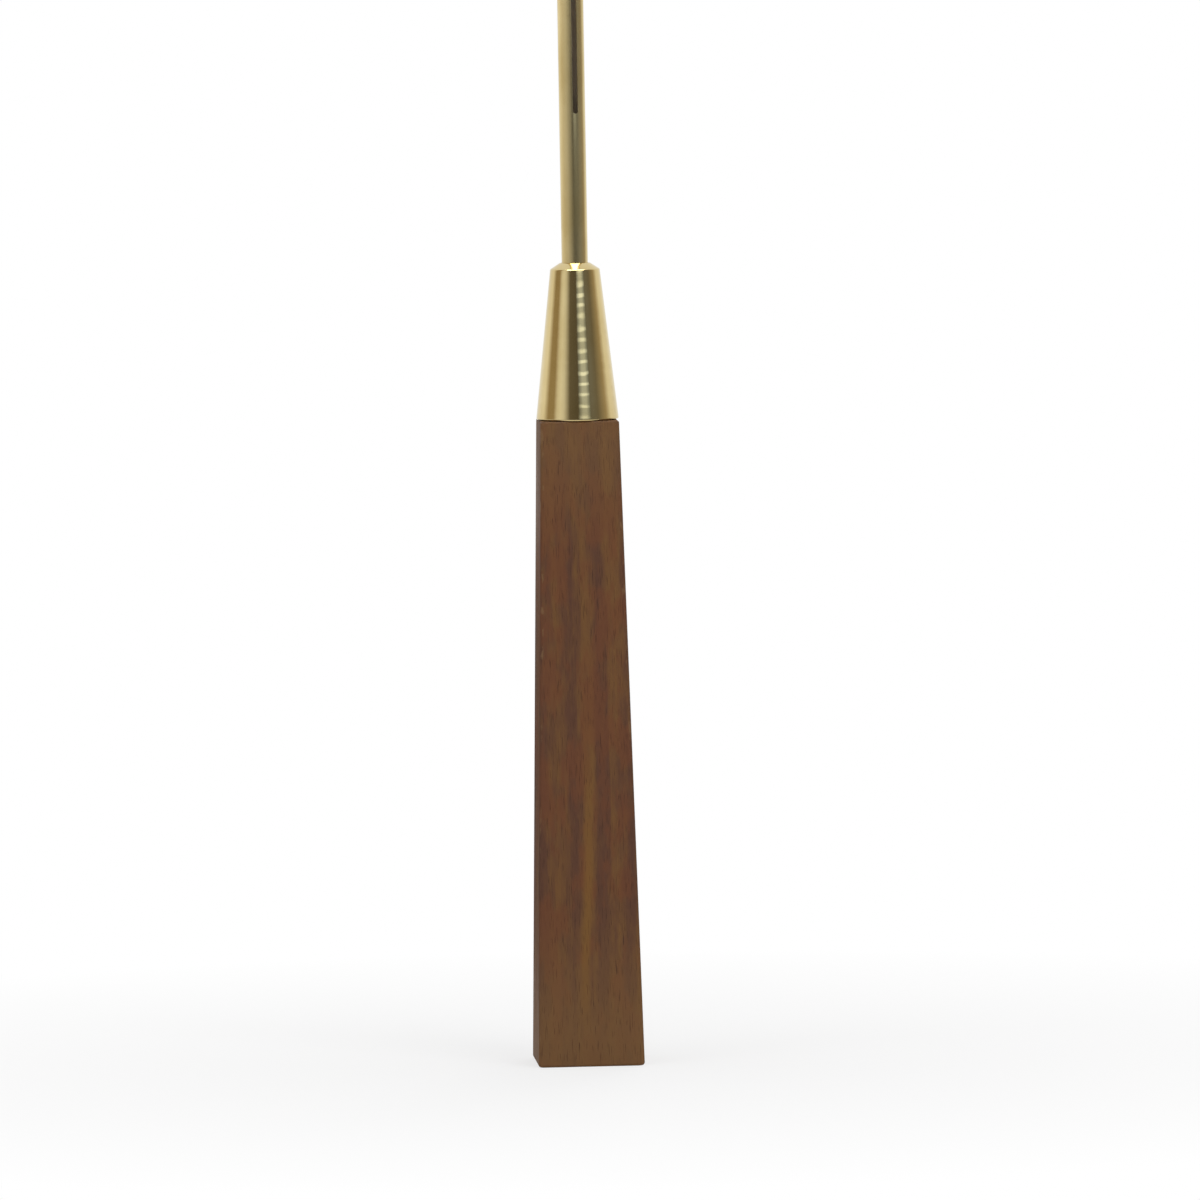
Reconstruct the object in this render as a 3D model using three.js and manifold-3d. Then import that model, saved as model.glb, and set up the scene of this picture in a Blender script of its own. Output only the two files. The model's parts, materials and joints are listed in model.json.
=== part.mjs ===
// A candle lighter: a square tapering walnut handle, a turned brass ferrule and a slotted brass tube in which
// a slide feeds a wax taper, with a bell snuffer on a bent arm beside the tube.
// Millimetres, +Z up. The origin is the middle of the handle's foot, the handle's front face looks to -Y,
// and the bell hangs on the +X side.
import * as THREE from "three";
import { mergeVertices, toCreasedNormals } from "three/addons/utils/BufferGeometryUtils.js";
import Module from "manifold-3d";

const wasm = await Module();
wasm.setup();

// Driving dimensions, in millimetres; angles in degrees.

// Handle: square stock, wider at the foot than at the neck under the ferrule.
const HANDLE_LENGTH = 195;
const HANDLE_FOOT_SIDE = 32.2;
const HANDLE_NECK_SIDE = 23.8;
const HANDLE_EDGE_RADIUS = 1.2;
const HANDLE_FOOT_RADIUS = 1;
const HANDLE_NECK_CHAMFER = 0.4;

// Ferrule: a cone with a broken edge at its base, a chamfer at its top and a spigot that enters the handle.
const FERRULE_CONE_HEIGHT = 45.4;
const FERRULE_CHAMFER_HEIGHT = 1.9;
const FERRULE_BASE_DIAMETER = 25;
const FERRULE_SHOULDER_DIAMETER = 15;
const FERRULE_EDGE_BREAK = 0.6;
const FERRULE_TOP_LAND = 0.4;
const FERRULE_SPIGOT_DIAMETER = 14;
const FERRULE_SPIGOT_LENGTH = 5;

// Hanger bolt between the handle and the ferrule.
const BOLT_DIAMETER = 6.35;
const BOLT_ROOT_DIAMETER = 5;
const BOLT_SHORT_OF_TUBE = 5;
const BOLT_IN_HANDLE = 44;
const BOLT_POINT_LENGTH = 8;
const BOLT_END_CHAMFER = 0.8;

// Slotted tube. Its slot is turned a little from the handle's front face.
const TUBE_DIAMETER = 7.94;
const TUBE_WALL = 0.8;
const TUBE_EXPOSED_LENGTH = 362;
const TUBE_SEAT_DEPTH = 26;
const SLOT_WIDTH = 1.6;
const SLOT_END_RELIEF = 0.6;
const SLOT_START_ABOVE_FERRULE = 45.1;
const SLOT_LENGTH = 240.9;
const SLOT_TURN = 12;

// Slide: sleeve outside the tube, carrier inside it, thumbscrew through both.
const SLIDE_REST_ABOVE_SLOT_START = 118.9;
const SLEEVE_WALL = 2;
const SLEEVE_RIM_PROUD = 1;
const SLEEVE_RIM_HEIGHT = 2.6;
const SLEEVE_EDGE_RADIUS = 0.5;
const SLEEVE_HEIGHT = 14;
const SPOT_FACE_DEPTH = 0.6;
const THUMB_WASHER_DIAMETER = 6.6;
const THUMB_WASHER_THICKNESS = 0.7;
const CARRIER_BELOW_STUD = 5;
const CARRIER_FLOOR_ABOVE_STUD = 4;
const CARRIER_CUP_DEPTH = 14;
const CARRIER_SLIT_WIDTH = 0.6;
const CARRIER_SLIT_DEPTH = 9;
const STUD_DIAMETER = 3;
const STUD_POINT_IN_CARRIER = 1.3;
const KNOB_DIAMETER = 11.4;
const KNOB_HEIGHT = 5;
const KNOB_NECK_DIAMETER = 6.4;
const KNOB_NECK_HEIGHT = 1.6;
const KNOB_EDGE_CHAMFER = 0.7;
const KNOB_DISH_DEPTH = 0.6;
const KNOB_CAP_THICKNESS = 1.2;
const KNURL_COUNT = 30;
const KNURL_DEPTH = 0.45;

// Taper: wax over a cotton wick, shown partly burnt down.
const TAPER_DIAMETER = 3.2;
const TAPER_PROUD_OF_NOZZLE = 18;
const TAPER_POINT_LENGTH = 5;
const TAPER_POINT_WALL = 0.25;
const WICK_DIAMETER = 1.2;
const WICK_IN_WAX = 8;
const WICK_SHOWING = 6;

// Nozzle over the tube's end.
const NOZZLE_SKIRT_WALL = 1.1;
const NOZZLE_SKIRT_LENGTH = 9;
const NOZZLE_TIP_WALL = 1.1;
const NOZZLE_TIP_LENGTH = 6;
const NOZZLE_RIM_HEIGHT = 2;
const NOZZLE_RIM_PROUD = 0.7;
const NOZZLE_TAPER_PLAY = 0.4;

// Collar that carries the arm in a slanting boss, held on the tube by a set screw.
const COLLAR_BELOW_TUBE_END = 50;
const COLLAR_WALL = 2.7;
const COLLAR_HEIGHT = 16;
const COLLAR_RIM_HEIGHT = 2.2;
const COLLAR_RIM_PROUD = 0.8;
const COLLAR_EDGE_RADIUS = 0.4;
const BOSS_WALL = 1.75;
const BOSS_FLOOR_WALL = 0.4;
const BOSS_SOCKET_DEPTH = 7;
const BOSS_END_CHAMFER = 0.6;
const SET_SCREW_DIAMETER = 3;
const SET_SCREW_KEY_ACROSS_FLATS = 1.5;
const SET_SCREW_KEY_DEPTH = 1.2;

// Arm: a bent rod that rises from the collar, arches over and comes down into the bell.
const ARM_DIAMETER = 5;
const ARM_RISE_ANGLE = 45;
const ARM_STRAIGHT_RISE = 5;
const ARM_BEND_RADIUS = 22;
const ARM_DROP = 9;
const ARM_THREAD_DIAMETER = 4;
const ARM_THREAD_PROUD = 1;

// Bell with its bead, washer and nut.
const BELL_HEIGHT = 36;
const BELL_MOUTH_DIAMETER = 34;
const BELL_WAIST_DIAMETER = 22;
const BELL_CROWN_DIAMETER = 9;
const BELL_SHOULDER_DROP = 9;
const BELL_WALL = 1.3;
const BELL_LIP_HEIGHT = 1.6;
const BELL_LIP_PROUD = 0.5;
const BEAD_DIAMETER = 9.6;
const BEAD_BODY_HEIGHT = 4.6;
const BEAD_NECK_WALL = 0.9;
const BEAD_NECK_HEIGHT = 1.4;
const WASHER_THICKNESS = 0.8;
const NUT_ACROSS_FLATS = 7;
const NUT_HEIGHT = 3.2;

// Clearances: soldered, pressed or screwed joints, sliding joints, and faces that meet.
const FIT_GAP = 0.15;
const SLIDE_GAP = 0.2;
const SEAT_GAP = 0.1;

// How finely round forms are drawn, and how far a cutter runs past what it cuts.
const ROUND_STEPS = 40;
const SMALL_ROUND_STEPS = 24;
const ARC_STEPS = 3;
const CURVE_STEPS = 7;
const CORNER_STEPS = 4;
const ARM_STEPS = 36;
const ARM_SIDES = 16;
const OVERCUT = 1;
const WELD_DISTANCE = 1e-4;
const CREASE_ANGLE = 35;

const radians = THREE.MathUtils.degToRad;
const QUARTER_TURN = Math.PI / 2;

// Places and radii that follow from the driving dimensions, from the handle up.
const ferruleBase = HANDLE_LENGTH + SEAT_GAP;
const ferruleLength = FERRULE_CONE_HEIGHT + FERRULE_CHAMFER_HEIGHT;
const ferruleTop = ferruleBase + ferruleLength;
const tubeSeat = ferruleLength - TUBE_SEAT_DEPTH;
const tubeBottom = ferruleBase + tubeSeat + SEAT_GAP;
const tubeTop = ferruleTop + TUBE_EXPOSED_LENGTH;
const tubeRadius = TUBE_DIAMETER / 2;
const tubeBore = tubeRadius - TUBE_WALL;
const tubeFit = tubeRadius + FIT_GAP;
const boltFit = BOLT_DIAMETER / 2 + FIT_GAP;
const boltTop = tubeSeat - BOLT_SHORT_OF_TUBE;

const slotStart = ferruleTop + SLOT_START_ABOVE_FERRULE;
const slotEndRadius = (SLOT_WIDTH + SLOT_END_RELIEF) / 2;
const slideHeight = slotStart + SLIDE_REST_ABOVE_SLOT_START;
const sleeveWaist = tubeRadius + SLIDE_GAP + SLEEVE_WALL;
const sleeveRim = sleeveWaist + SLEEVE_RIM_PROUD;
const carrierRadius = tubeBore - SLIDE_GAP;
const carrierTop = CARRIER_FLOOR_ABOVE_STUD + CARRIER_CUP_DEPTH;
const studFit = STUD_DIAMETER / 2 + FIT_GAP;
const studPoint = SLOT_WIDTH / 2 - FIT_GAP;
const studPointStart = carrierRadius - STUD_POINT_IN_CARRIER;
const studShoulder = tubeRadius + SLIDE_GAP;
const spotFace = sleeveWaist - SPOT_FACE_DEPTH;
const thumbWasherBase = spotFace + SEAT_GAP;
const knobBase = thumbWasherBase + THUMB_WASHER_THICKNESS + SEAT_GAP;
const knobHeadBase = knobBase + KNOB_NECK_HEIGHT;
const knobTop = knobHeadBase + KNOB_HEIGHT;
const studEnd = knobTop - KNOB_DISH_DEPTH - KNOB_CAP_THICKNESS;

const taperRadius = TAPER_DIAMETER / 2;
const wickFit = WICK_DIAMETER / 2 + FIT_GAP;
const nozzleTop = SEAT_GAP + NOZZLE_TIP_LENGTH;
const taperBottom = CARRIER_FLOOR_ABOVE_STUD + SEAT_GAP;
const taperTop = tubeTop + nozzleTop + TAPER_PROUD_OF_NOZZLE - slideHeight;

const collarHeight = tubeTop - COLLAR_BELOW_TUBE_END;
const collarRadius = tubeFit + COLLAR_WALL;
const armRadius = ARM_DIAMETER / 2;
const armFit = armRadius + FIT_GAP;
const bossRadius = armFit + BOSS_WALL;
const screwFit = SET_SCREW_DIAMETER / 2 + FIT_GAP;

// The arm's route about the collar's middle, in the plane of X and Z. The socket's floor clears the tube.
const armRise = radians(ARM_RISE_ANGLE);
const socketFloor = (tubeFit + BOSS_FLOOR_WALL + armFit * Math.sin(armRise)) / Math.cos(armRise);
const bossReach = socketFloor + BOSS_SOCKET_DEPTH;
const armScrewPlace = socketFloor + BOSS_SOCKET_DEPTH / 2;
const armFoot = socketFloor + SEAT_GAP;
const bendStart = bossReach + ARM_STRAIGHT_RISE;
const bendCentreX = bendStart * Math.cos(armRise) + ARM_BEND_RADIUS * Math.sin(armRise);
const bendCentreZ = bendStart * Math.sin(armRise) - ARM_BEND_RADIUS * Math.cos(armRise);
const bellAcross = bendCentreX + ARM_BEND_RADIUS;
const bellCrown = bendCentreZ - ARM_DROP;
const threadFit = ARM_THREAD_DIAMETER / 2 + FIT_GAP;
const washerTop = -BELL_WALL - SEAT_GAP;
const nutTop = washerTop - WASHER_THICKNESS - SEAT_GAP;
const threadEnd = nutTop - NUT_HEIGHT - ARM_THREAD_PROUD;

// Materials, one per kind of stuff; each mesh gets its own copy.
const WALNUT = { color: 0x65472f, roughness: 0.5, metalness: 0 };
const BRASS = { color: 0xcbb67e, roughness: 0.22, metalness: 1 };
const STEEL = { color: 0x9a9b9c, roughness: 0.4, metalness: 1 };
const WAX = { color: 0xeee3c8, roughness: 0.55, metalness: 0 };
const COTTON = { color: 0xe9e2d2, roughness: 0.95, metalness: 0 };

// A closed geometry as a solid that can be joined and cut.
function toSolid(geometry) {
  const bare = geometry.clone();
  bare.deleteAttribute("normal");
  bare.deleteAttribute("uv");
  const merged = mergeVertices(bare, WELD_DISTANCE);
  const corners = merged.index.array;
  const triVerts = [];
  for (let i = 0; i < corners.length; i += 3) {
    const [a, b, c] = corners.subarray(i, i + 3);
    if (a !== b && b !== c && c !== a) triVerts.push(a, b, c);
  }
  const vertProperties = merged.attributes.position.array;
  const mesh = new wasm.Mesh({ numProp: 3, vertProperties, triVerts: Uint32Array.from(triVerts) });
  return new wasm.Manifold(mesh);
}

function toGeometry(solid) {
  const mesh = solid.getMesh();
  const geometry = new THREE.BufferGeometry();
  geometry.setAttribute("position", new THREE.Float32BufferAttribute(mesh.vertProperties, 3));
  geometry.setIndex(new THREE.Uint32BufferAttribute(mesh.triVerts, 1));
  return geometry;
}

// A geometry with others cut away from it.
function cut(geometry, ...tools) {
  return toGeometry(tools.reduce((body, tool) => body.subtract(toSolid(tool)), toSolid(geometry)));
}

function join(first, second) {
  return toGeometry(toSolid(first).add(toSolid(second)));
}

// What two geometries have in common.
function common(first, second) {
  return toGeometry(toSolid(first).intersect(toSolid(second)));
}

// Adds a named mesh to a group, with smooth rounds and crisp edges.
function addPiece(group, name, geometry, look) {
  const welded = toGeometry(toSolid(geometry));
  const shaded = toCreasedNormals(welded, radians(CREASE_ANGLE));
  const piece = new THREE.Mesh(shaded, new THREE.MeshStandardMaterial(look));
  piece.name = name;
  group.add(piece);
}

// Adds a group at a height inside another group.
function addGroup(parent, height) {
  const group = new THREE.Group();
  group.position.z = height;
  parent.add(group);
  return group;
}

// A form turned about Z from a path of (radius, height) that runs up the outside.
function turned(path, steps = ROUND_STEPS, curveSteps = ARC_STEPS) {
  return new THREE.LatheGeometry(path.getPoints(curveSteps), steps).rotateX(QUARTER_TURN);
}

// A rod along Z with the given number of sides.
function rod(radius, from, to, sides = SMALL_ROUND_STEPS) {
  const geometry = new THREE.CylinderGeometry(radius, radius, to - from, sides).rotateX(QUARTER_TURN);
  return geometry.translate(0, 0, (from + to) / 2);
}

// A hexagonal bar along Z.
function hexagon(acrossFlats, from, to) {
  const sides = 6;
  return rod(acrossFlats / 2 / Math.cos(Math.PI / sides), from, to, sides);
}

// A rod along -Y from the axis, at a height: a hole in the front.
function frontHole(radius, height, reach) {
  return rod(radius, 0, reach).rotateX(QUARTER_TURN).translate(0, 0, height);
}

// The outline of a square with rounded corners, counter-clockwise.
function roundedSquare(side, radius) {
  const points = [];
  const reach = side / 2 - radius;
  const corners = [[1, 1], [-1, 1], [-1, -1], [1, -1]];
  corners.forEach(([signX, signY], corner) => {
    for (let step = 0; step <= CORNER_STEPS; step += 1) {
      const angle = (corner + step / CORNER_STEPS) * QUARTER_TURN;
      points.push([signX * reach + radius * Math.cos(angle), signY * reach + radius * Math.sin(angle)]);
    }
  });
  return points;
}

// A closed loft through level sections that all have the same number of points.
function loft(sections) {
  const count = sections[0].points.length;
  const positions = sections.flatMap(({ height, points }) => points.flatMap(([x, y]) => [x, y, height]));
  const topStart = (sections.length - 1) * count;
  const bottomCentre = sections.length * count;
  const topCentre = bottomCentre + 1;
  positions.push(0, 0, sections[0].height);
  positions.push(0, 0, sections.at(-1).height);
  const index = [];
  for (let i = 0; i < count; i += 1) {
    const next = (i + 1) % count;
    index.push(bottomCentre, next, i);
    index.push(topCentre, topStart + i, topStart + next);
    for (let ring = 0; ring < topStart; ring += count) {
      index.push(ring + i, ring + next, ring + count + next);
      index.push(ring + i, ring + count + next, ring + count + i);
    }
  }
  const geometry = new THREE.BufferGeometry();
  geometry.setAttribute("position", new THREE.Float32BufferAttribute(positions, 3));
  geometry.setIndex(index);
  return geometry;
}

// One section of the handle at a height, drawn in from its faces by an inset.
function handleSection(height, inset) {
  const side = THREE.MathUtils.lerp(HANDLE_FOOT_SIDE, HANDLE_NECK_SIDE, height / HANDLE_LENGTH);
  return { height, points: roundedSquare(side - 2 * inset, HANDLE_EDGE_RADIUS) };
}

// The handle: a tapering square with eased edges, drilled from the neck for the spigot and the bolt.
function handle() {
  const sections = [];
  for (let step = 0; step <= CORNER_STEPS; step += 1) {
    const angle = (step / CORNER_STEPS) * QUARTER_TURN;
    const height = HANDLE_FOOT_RADIUS * (1 - Math.cos(angle));
    sections.push(handleSection(height, HANDLE_FOOT_RADIUS * (1 - Math.sin(angle))));
  }
  sections.push(handleSection(HANDLE_LENGTH - HANDLE_NECK_CHAMFER, 0));
  sections.push(handleSection(HANDLE_LENGTH, HANDLE_NECK_CHAMFER));
  const above = HANDLE_LENGTH + OVERCUT;
  const recessFloor = HANDLE_LENGTH - FERRULE_SPIGOT_LENGTH - SEAT_GAP;
  const recess = rod(FERRULE_SPIGOT_DIAMETER / 2 + FIT_GAP, recessFloor, above, ROUND_STEPS);
  const pilot = rod(boltFit, HANDLE_LENGTH - BOLT_IN_HANDLE - SEAT_GAP, above);
  return cut(loft(sections), recess, pilot);
}

// The ferrule about its base face: spigot below, tube bore above, bolt hole between.
function ferrule() {
  const base = FERRULE_BASE_DIAMETER / 2;
  const spigot = FERRULE_SPIGOT_DIAMETER / 2;
  const path = new THREE.Path();
  path.moveTo(boltFit, -FERRULE_SPIGOT_LENGTH);
  path.lineTo(spigot, -FERRULE_SPIGOT_LENGTH);
  path.lineTo(spigot, 0);
  path.lineTo(base - FERRULE_EDGE_BREAK, 0);
  path.quadraticCurveTo(base, 0, base, FERRULE_EDGE_BREAK);
  path.lineTo(FERRULE_SHOULDER_DIAMETER / 2, FERRULE_CONE_HEIGHT);
  path.lineTo(tubeFit + FERRULE_TOP_LAND, ferruleLength);
  path.lineTo(tubeFit, ferruleLength);
  path.lineTo(tubeFit, tubeSeat);
  path.lineTo(boltFit, tubeSeat);
  path.closePath();
  return turned(path);
}

// The hanger bolt about the ferrule's base face: pointed in the handle, plain in the ferrule.
function hangerBolt() {
  const radius = BOLT_DIAMETER / 2;
  const root = BOLT_ROOT_DIAMETER / 2;
  const path = new THREE.Path();
  path.moveTo(0, -BOLT_IN_HANDLE);
  path.lineTo(root, BOLT_POINT_LENGTH - BOLT_IN_HANDLE);
  path.lineTo(root, -FERRULE_SPIGOT_LENGTH - BOLT_END_CHAMFER);
  path.lineTo(radius, -FERRULE_SPIGOT_LENGTH);
  path.lineTo(radius, boltTop - BOLT_END_CHAMFER);
  path.lineTo(radius - BOLT_END_CHAMFER, boltTop);
  path.lineTo(0, boltTop);
  return turned(path, SMALL_ROUND_STEPS);
}

// The tube, with its slot through the front wall and a drilled hole at each end of the slot.
function mainTube() {
  const path = new THREE.Path();
  path.moveTo(tubeBore, tubeBottom);
  path.lineTo(tubeRadius, tubeBottom);
  path.lineTo(tubeRadius, tubeTop);
  path.lineTo(tubeBore, tubeTop);
  path.closePath();
  const reach = tubeRadius + OVERCUT;
  const lowHole = slotStart + slotEndRadius;
  const highHole = slotStart + SLOT_LENGTH - slotEndRadius;
  const slot = new THREE.BoxGeometry(SLOT_WIDTH, reach, highHole - lowHole);
  slot.translate(0, -reach / 2, (lowHole + highHole) / 2);
  const ends = [lowHole, highHole].map((height) => frontHole(slotEndRadius, height, reach));
  return cut(turned(path), slot, ...ends);
}

// A ring about its own middle, with a proud rim at each end that sweeps into the waist.
function rimmedRing(bore, waist, rimProud, rimHeight, edge, height) {
  const half = height / 2;
  const rim = waist + rimProud;
  const rimEnd = half - rimHeight;
  const path = new THREE.Path();
  path.moveTo(bore, -half);
  path.lineTo(rim - edge, -half);
  path.quadraticCurveTo(rim, -half, rim, edge - half);
  path.lineTo(rim, -rimEnd);
  path.quadraticCurveTo(waist, -rimEnd, waist, rimProud - rimEnd);
  path.lineTo(waist, rimEnd - rimProud);
  path.quadraticCurveTo(waist, rimEnd, rim, rimEnd);
  path.lineTo(rim, half - edge);
  path.quadraticCurveTo(rim, half, rim - edge, half);
  path.lineTo(bore, half);
  path.closePath();
  return turned(path);
}

// The sleeve about the stud's height, drilled in front for the stud and spot faced for its washer.
function slideSleeve() {
  const bore = tubeRadius + SLIDE_GAP;
  const edge = SLEEVE_EDGE_RADIUS;
  const ring = rimmedRing(bore, sleeveWaist, SLEEVE_RIM_PROUD, SLEEVE_RIM_HEIGHT, edge, SLEEVE_HEIGHT);
  const reach = sleeveRim + OVERCUT;
  const spot = rod(THUMB_WASHER_DIAMETER / 2 + SLIDE_GAP, spotFace, reach).rotateX(QUARTER_TURN);
  return cut(ring, frontHole(studFit, 0, reach), spot);
}

// The carrier inside the tube, about the stud's height: solid below, a cup with crossed slits above.
function wickCarrier() {
  const cup = taperRadius + FIT_GAP;
  const path = new THREE.Path();
  path.moveTo(0, -CARRIER_BELOW_STUD);
  path.lineTo(carrierRadius, -CARRIER_BELOW_STUD);
  path.lineTo(carrierRadius, carrierTop);
  path.lineTo(cup, carrierTop);
  path.lineTo(cup, CARRIER_FLOOR_ABOVE_STUD);
  path.lineTo(0, CARRIER_FLOOR_ABOVE_STUD);
  const pointHole = rod(studPoint + FIT_GAP, studPointStart - SLIDE_GAP, carrierRadius + OVERCUT);
  pointHole.rotateX(QUARTER_TURN);
  const slitLength = 2 * (carrierRadius + OVERCUT);
  const slitHeight = CARRIER_SLIT_DEPTH + OVERCUT;
  const slitMiddle = carrierTop + OVERCUT - slitHeight / 2;
  const slit = new THREE.BoxGeometry(slitLength, CARRIER_SLIT_WIDTH, slitHeight).translate(0, 0, slitMiddle);
  return cut(turned(path, SMALL_ROUND_STEPS), pointHole, slit, slit.clone().rotateZ(QUARTER_TURN));
}

// The stud, along +Z outwards from the tube's axis: dog point through the slot, shoulder, shank.
function thumbStud() {
  const path = new THREE.Path();
  path.moveTo(0, studPointStart);
  path.lineTo(studPoint, studPointStart);
  path.lineTo(studPoint, studShoulder);
  path.lineTo(STUD_DIAMETER / 2, studShoulder);
  path.lineTo(STUD_DIAMETER / 2, studEnd);
  path.lineTo(0, studEnd);
  return turned(path, SMALL_ROUND_STEPS);
}

// A flat ring along Z between two heights.
function washer(outer, bore, bottom, top) {
  return cut(rod(outer, bottom, top), rod(bore, bottom - OVERCUT, top + OVERCUT));
}

// The washer on the sleeve's spot face, along +Z outwards.
function thumbWasher() {
  const top = thumbWasherBase + THUMB_WASHER_THICKNESS;
  return washer(THUMB_WASHER_DIAMETER / 2, studFit, thumbWasherBase, top);
}

// The outline of the knob's rim: a row of vees.
function knurlOutline() {
  const outline = [];
  for (let i = 0; i < 2 * KNURL_COUNT; i += 1) {
    const angle = (i / KNURL_COUNT) * Math.PI;
    const depth = i % 2 === 0 ? 0 : KNURL_DEPTH;
    outline.push(new THREE.Vector2(KNOB_DIAMETER / 2 - depth, 0).rotateAround(new THREE.Vector2(), angle));
  }
  return new THREE.Shape(outline);
}

// The knob, along +Z outwards: a neck, then a knurled head with chamfered edges and a dished face.
function thumbKnob() {
  const outer = KNOB_DIAMETER / 2;
  const face = outer - KNOB_EDGE_CHAMFER;
  const dish = knobTop - KNOB_DISH_DEPTH;
  const path = new THREE.Path();
  path.moveTo(0, knobBase);
  path.lineTo(KNOB_NECK_DIAMETER / 2, knobBase);
  path.lineTo(KNOB_NECK_DIAMETER / 2, knobHeadBase);
  path.lineTo(face, knobHeadBase);
  path.lineTo(outer, knobHeadBase + KNOB_EDGE_CHAMFER);
  path.lineTo(outer, knobTop - KNOB_EDGE_CHAMFER);
  path.lineTo(face, knobTop);
  path.quadraticCurveTo(face / 2, dish, 0, dish);
  const knurl = new THREE.ExtrudeGeometry(knurlOutline(), { depth: knobTop - knobBase, bevelEnabled: false });
  const head = common(turned(path), knurl.translate(0, 0, knobBase));
  return cut(head, rod(studFit, knobBase - OVERCUT, studEnd + SEAT_GAP));
}

// The taper's wax about the stud's height: from the carrier's cup to a softened point, bored for the wick.
function waxTaper() {
  const point = wickFit + TAPER_POINT_WALL;
  const path = new THREE.Path();
  path.moveTo(0, taperBottom);
  path.lineTo(taperRadius, taperBottom);
  path.lineTo(taperRadius, taperTop - TAPER_POINT_LENGTH);
  path.quadraticCurveTo(taperRadius, taperTop - TAPER_POINT_LENGTH / 2, point, taperTop);
  path.lineTo(wickFit, taperTop);
  path.lineTo(wickFit, taperTop - WICK_IN_WAX);
  path.lineTo(0, taperTop - WICK_IN_WAX);
  return turned(path, SMALL_ROUND_STEPS);
}

function wickCore() {
  return rod(WICK_DIAMETER / 2, taperTop - WICK_IN_WAX + SEAT_GAP, taperTop + WICK_SHOWING);
}

// The nozzle about the tube's end: a rimmed skirt outside the tube, and a waisted tip that guides the taper.
function wickNozzle() {
  const bore = taperRadius + NOZZLE_TAPER_PLAY;
  const tip = bore + NOZZLE_TIP_WALL;
  const skirt = tubeFit + NOZZLE_SKIRT_WALL;
  const rim = skirt + NOZZLE_RIM_PROUD;
  const rimTop = NOZZLE_RIM_HEIGHT - NOZZLE_SKIRT_LENGTH;
  const path = new THREE.Path();
  path.moveTo(tubeFit, -NOZZLE_SKIRT_LENGTH);
  path.lineTo(rim, -NOZZLE_SKIRT_LENGTH);
  path.lineTo(rim, rimTop);
  path.lineTo(skirt, rimTop + NOZZLE_RIM_PROUD);
  path.lineTo(skirt, 0);
  path.quadraticCurveTo(tip, 0, tip, nozzleTop);
  path.lineTo(bore, nozzleTop);
  path.lineTo(bore, SEAT_GAP);
  path.lineTo(tubeFit, SEAT_GAP);
  path.closePath();
  return turned(path, ROUND_STEPS, CURVE_STEPS);
}

// Leans a form that stands along +Z over to the arm's first, rising stretch.
function leaned(geometry) {
  return geometry.rotateY(QUARTER_TURN - armRise);
}

// The collar about its own middle: a rimmed ring with a slanting boss, bored for tube, arm and set screws.
function branchCollar() {
  const edge = COLLAR_EDGE_RADIUS;
  const ring = rimmedRing(tubeFit, collarRadius, COLLAR_RIM_PROUD, COLLAR_RIM_HEIGHT, edge, COLLAR_HEIGHT);
  const path = new THREE.Path();
  path.moveTo(0, 0);
  path.lineTo(bossRadius, 0);
  path.lineTo(bossRadius, bossReach - BOSS_END_CHAMFER);
  path.lineTo(bossRadius - BOSS_END_CHAMFER, bossReach);
  path.lineTo(0, bossReach);
  const boss = leaned(turned(path, SMALL_ROUND_STEPS));
  const tubeHole = rod(tubeFit, -COLLAR_HEIGHT, COLLAR_HEIGHT, ROUND_STEPS);
  const socket = leaned(rod(armFit, socketFloor, bossReach + OVERCUT));
  const collarHole = rod(screwFit, 0, collarRadius + OVERCUT).rotateY(-QUARTER_TURN);
  const armHole = rod(screwFit, 0, bossRadius + OVERCUT).rotateX(-QUARTER_TURN);
  leaned(armHole.translate(0, 0, armScrewPlace));
  return cut(join(ring, boss), tubeHole, socket, collarHole, armHole);
}

// A set screw along +Z between two depths, with a hexagon socket in its outer end.
function setScrew(inner, outer) {
  const key = hexagon(SET_SCREW_KEY_ACROSS_FLATS, outer - SET_SCREW_KEY_DEPTH, outer + OVERCUT);
  return cut(rod(SET_SCREW_DIAMETER / 2, inner, outer), key);
}

function collarSetScrew() {
  return setScrew(tubeRadius + SEAT_GAP, collarRadius).rotateY(-QUARTER_TURN);
}

function armSetScrew() {
  const screw = setScrew(armRadius + SEAT_GAP, bossRadius).rotateX(-QUARTER_TURN);
  return leaned(screw.translate(0, 0, armScrewPlace));
}

// The arm's middle line: a slanting rise out of the socket, a bend, and a drop to the bell's crown.
class ArmRoute extends THREE.Curve {
  constructor() {
    super();
    this.flat = new THREE.Path();
    this.flat.moveTo(armFoot * Math.cos(armRise), armFoot * Math.sin(armRise));
    this.flat.lineTo(bendStart * Math.cos(armRise), bendStart * Math.sin(armRise));
    this.flat.absarc(bendCentreX, bendCentreZ, ARM_BEND_RADIUS, armRise + QUARTER_TURN, 0, true);
    this.flat.lineTo(bellAcross, bellCrown + SEAT_GAP);
  }

  getPoint(t, target = new THREE.Vector3()) {
    const { x, y } = this.flat.getPoint(t);
    return target.set(x, 0, y);
  }
}

// The arm: a round rod along its route, reduced at its end to pass the bell's crown, washer and nut.
function bellArm() {
  const section = new THREE.Shape().absarc(0, 0, armRadius, 0, 2 * Math.PI);
  const swept = new THREE.ExtrudeGeometry(section, {
    steps: ARM_STEPS,
    curveSegments: ARM_SIDES / 2,
    extrudePath: new ArmRoute(),
  });
  const thread = rod(ARM_THREAD_DIAMETER / 2, threadEnd, OVERCUT);
  return join(swept, thread.translate(bellAcross, 0, bellCrown));
}

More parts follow.
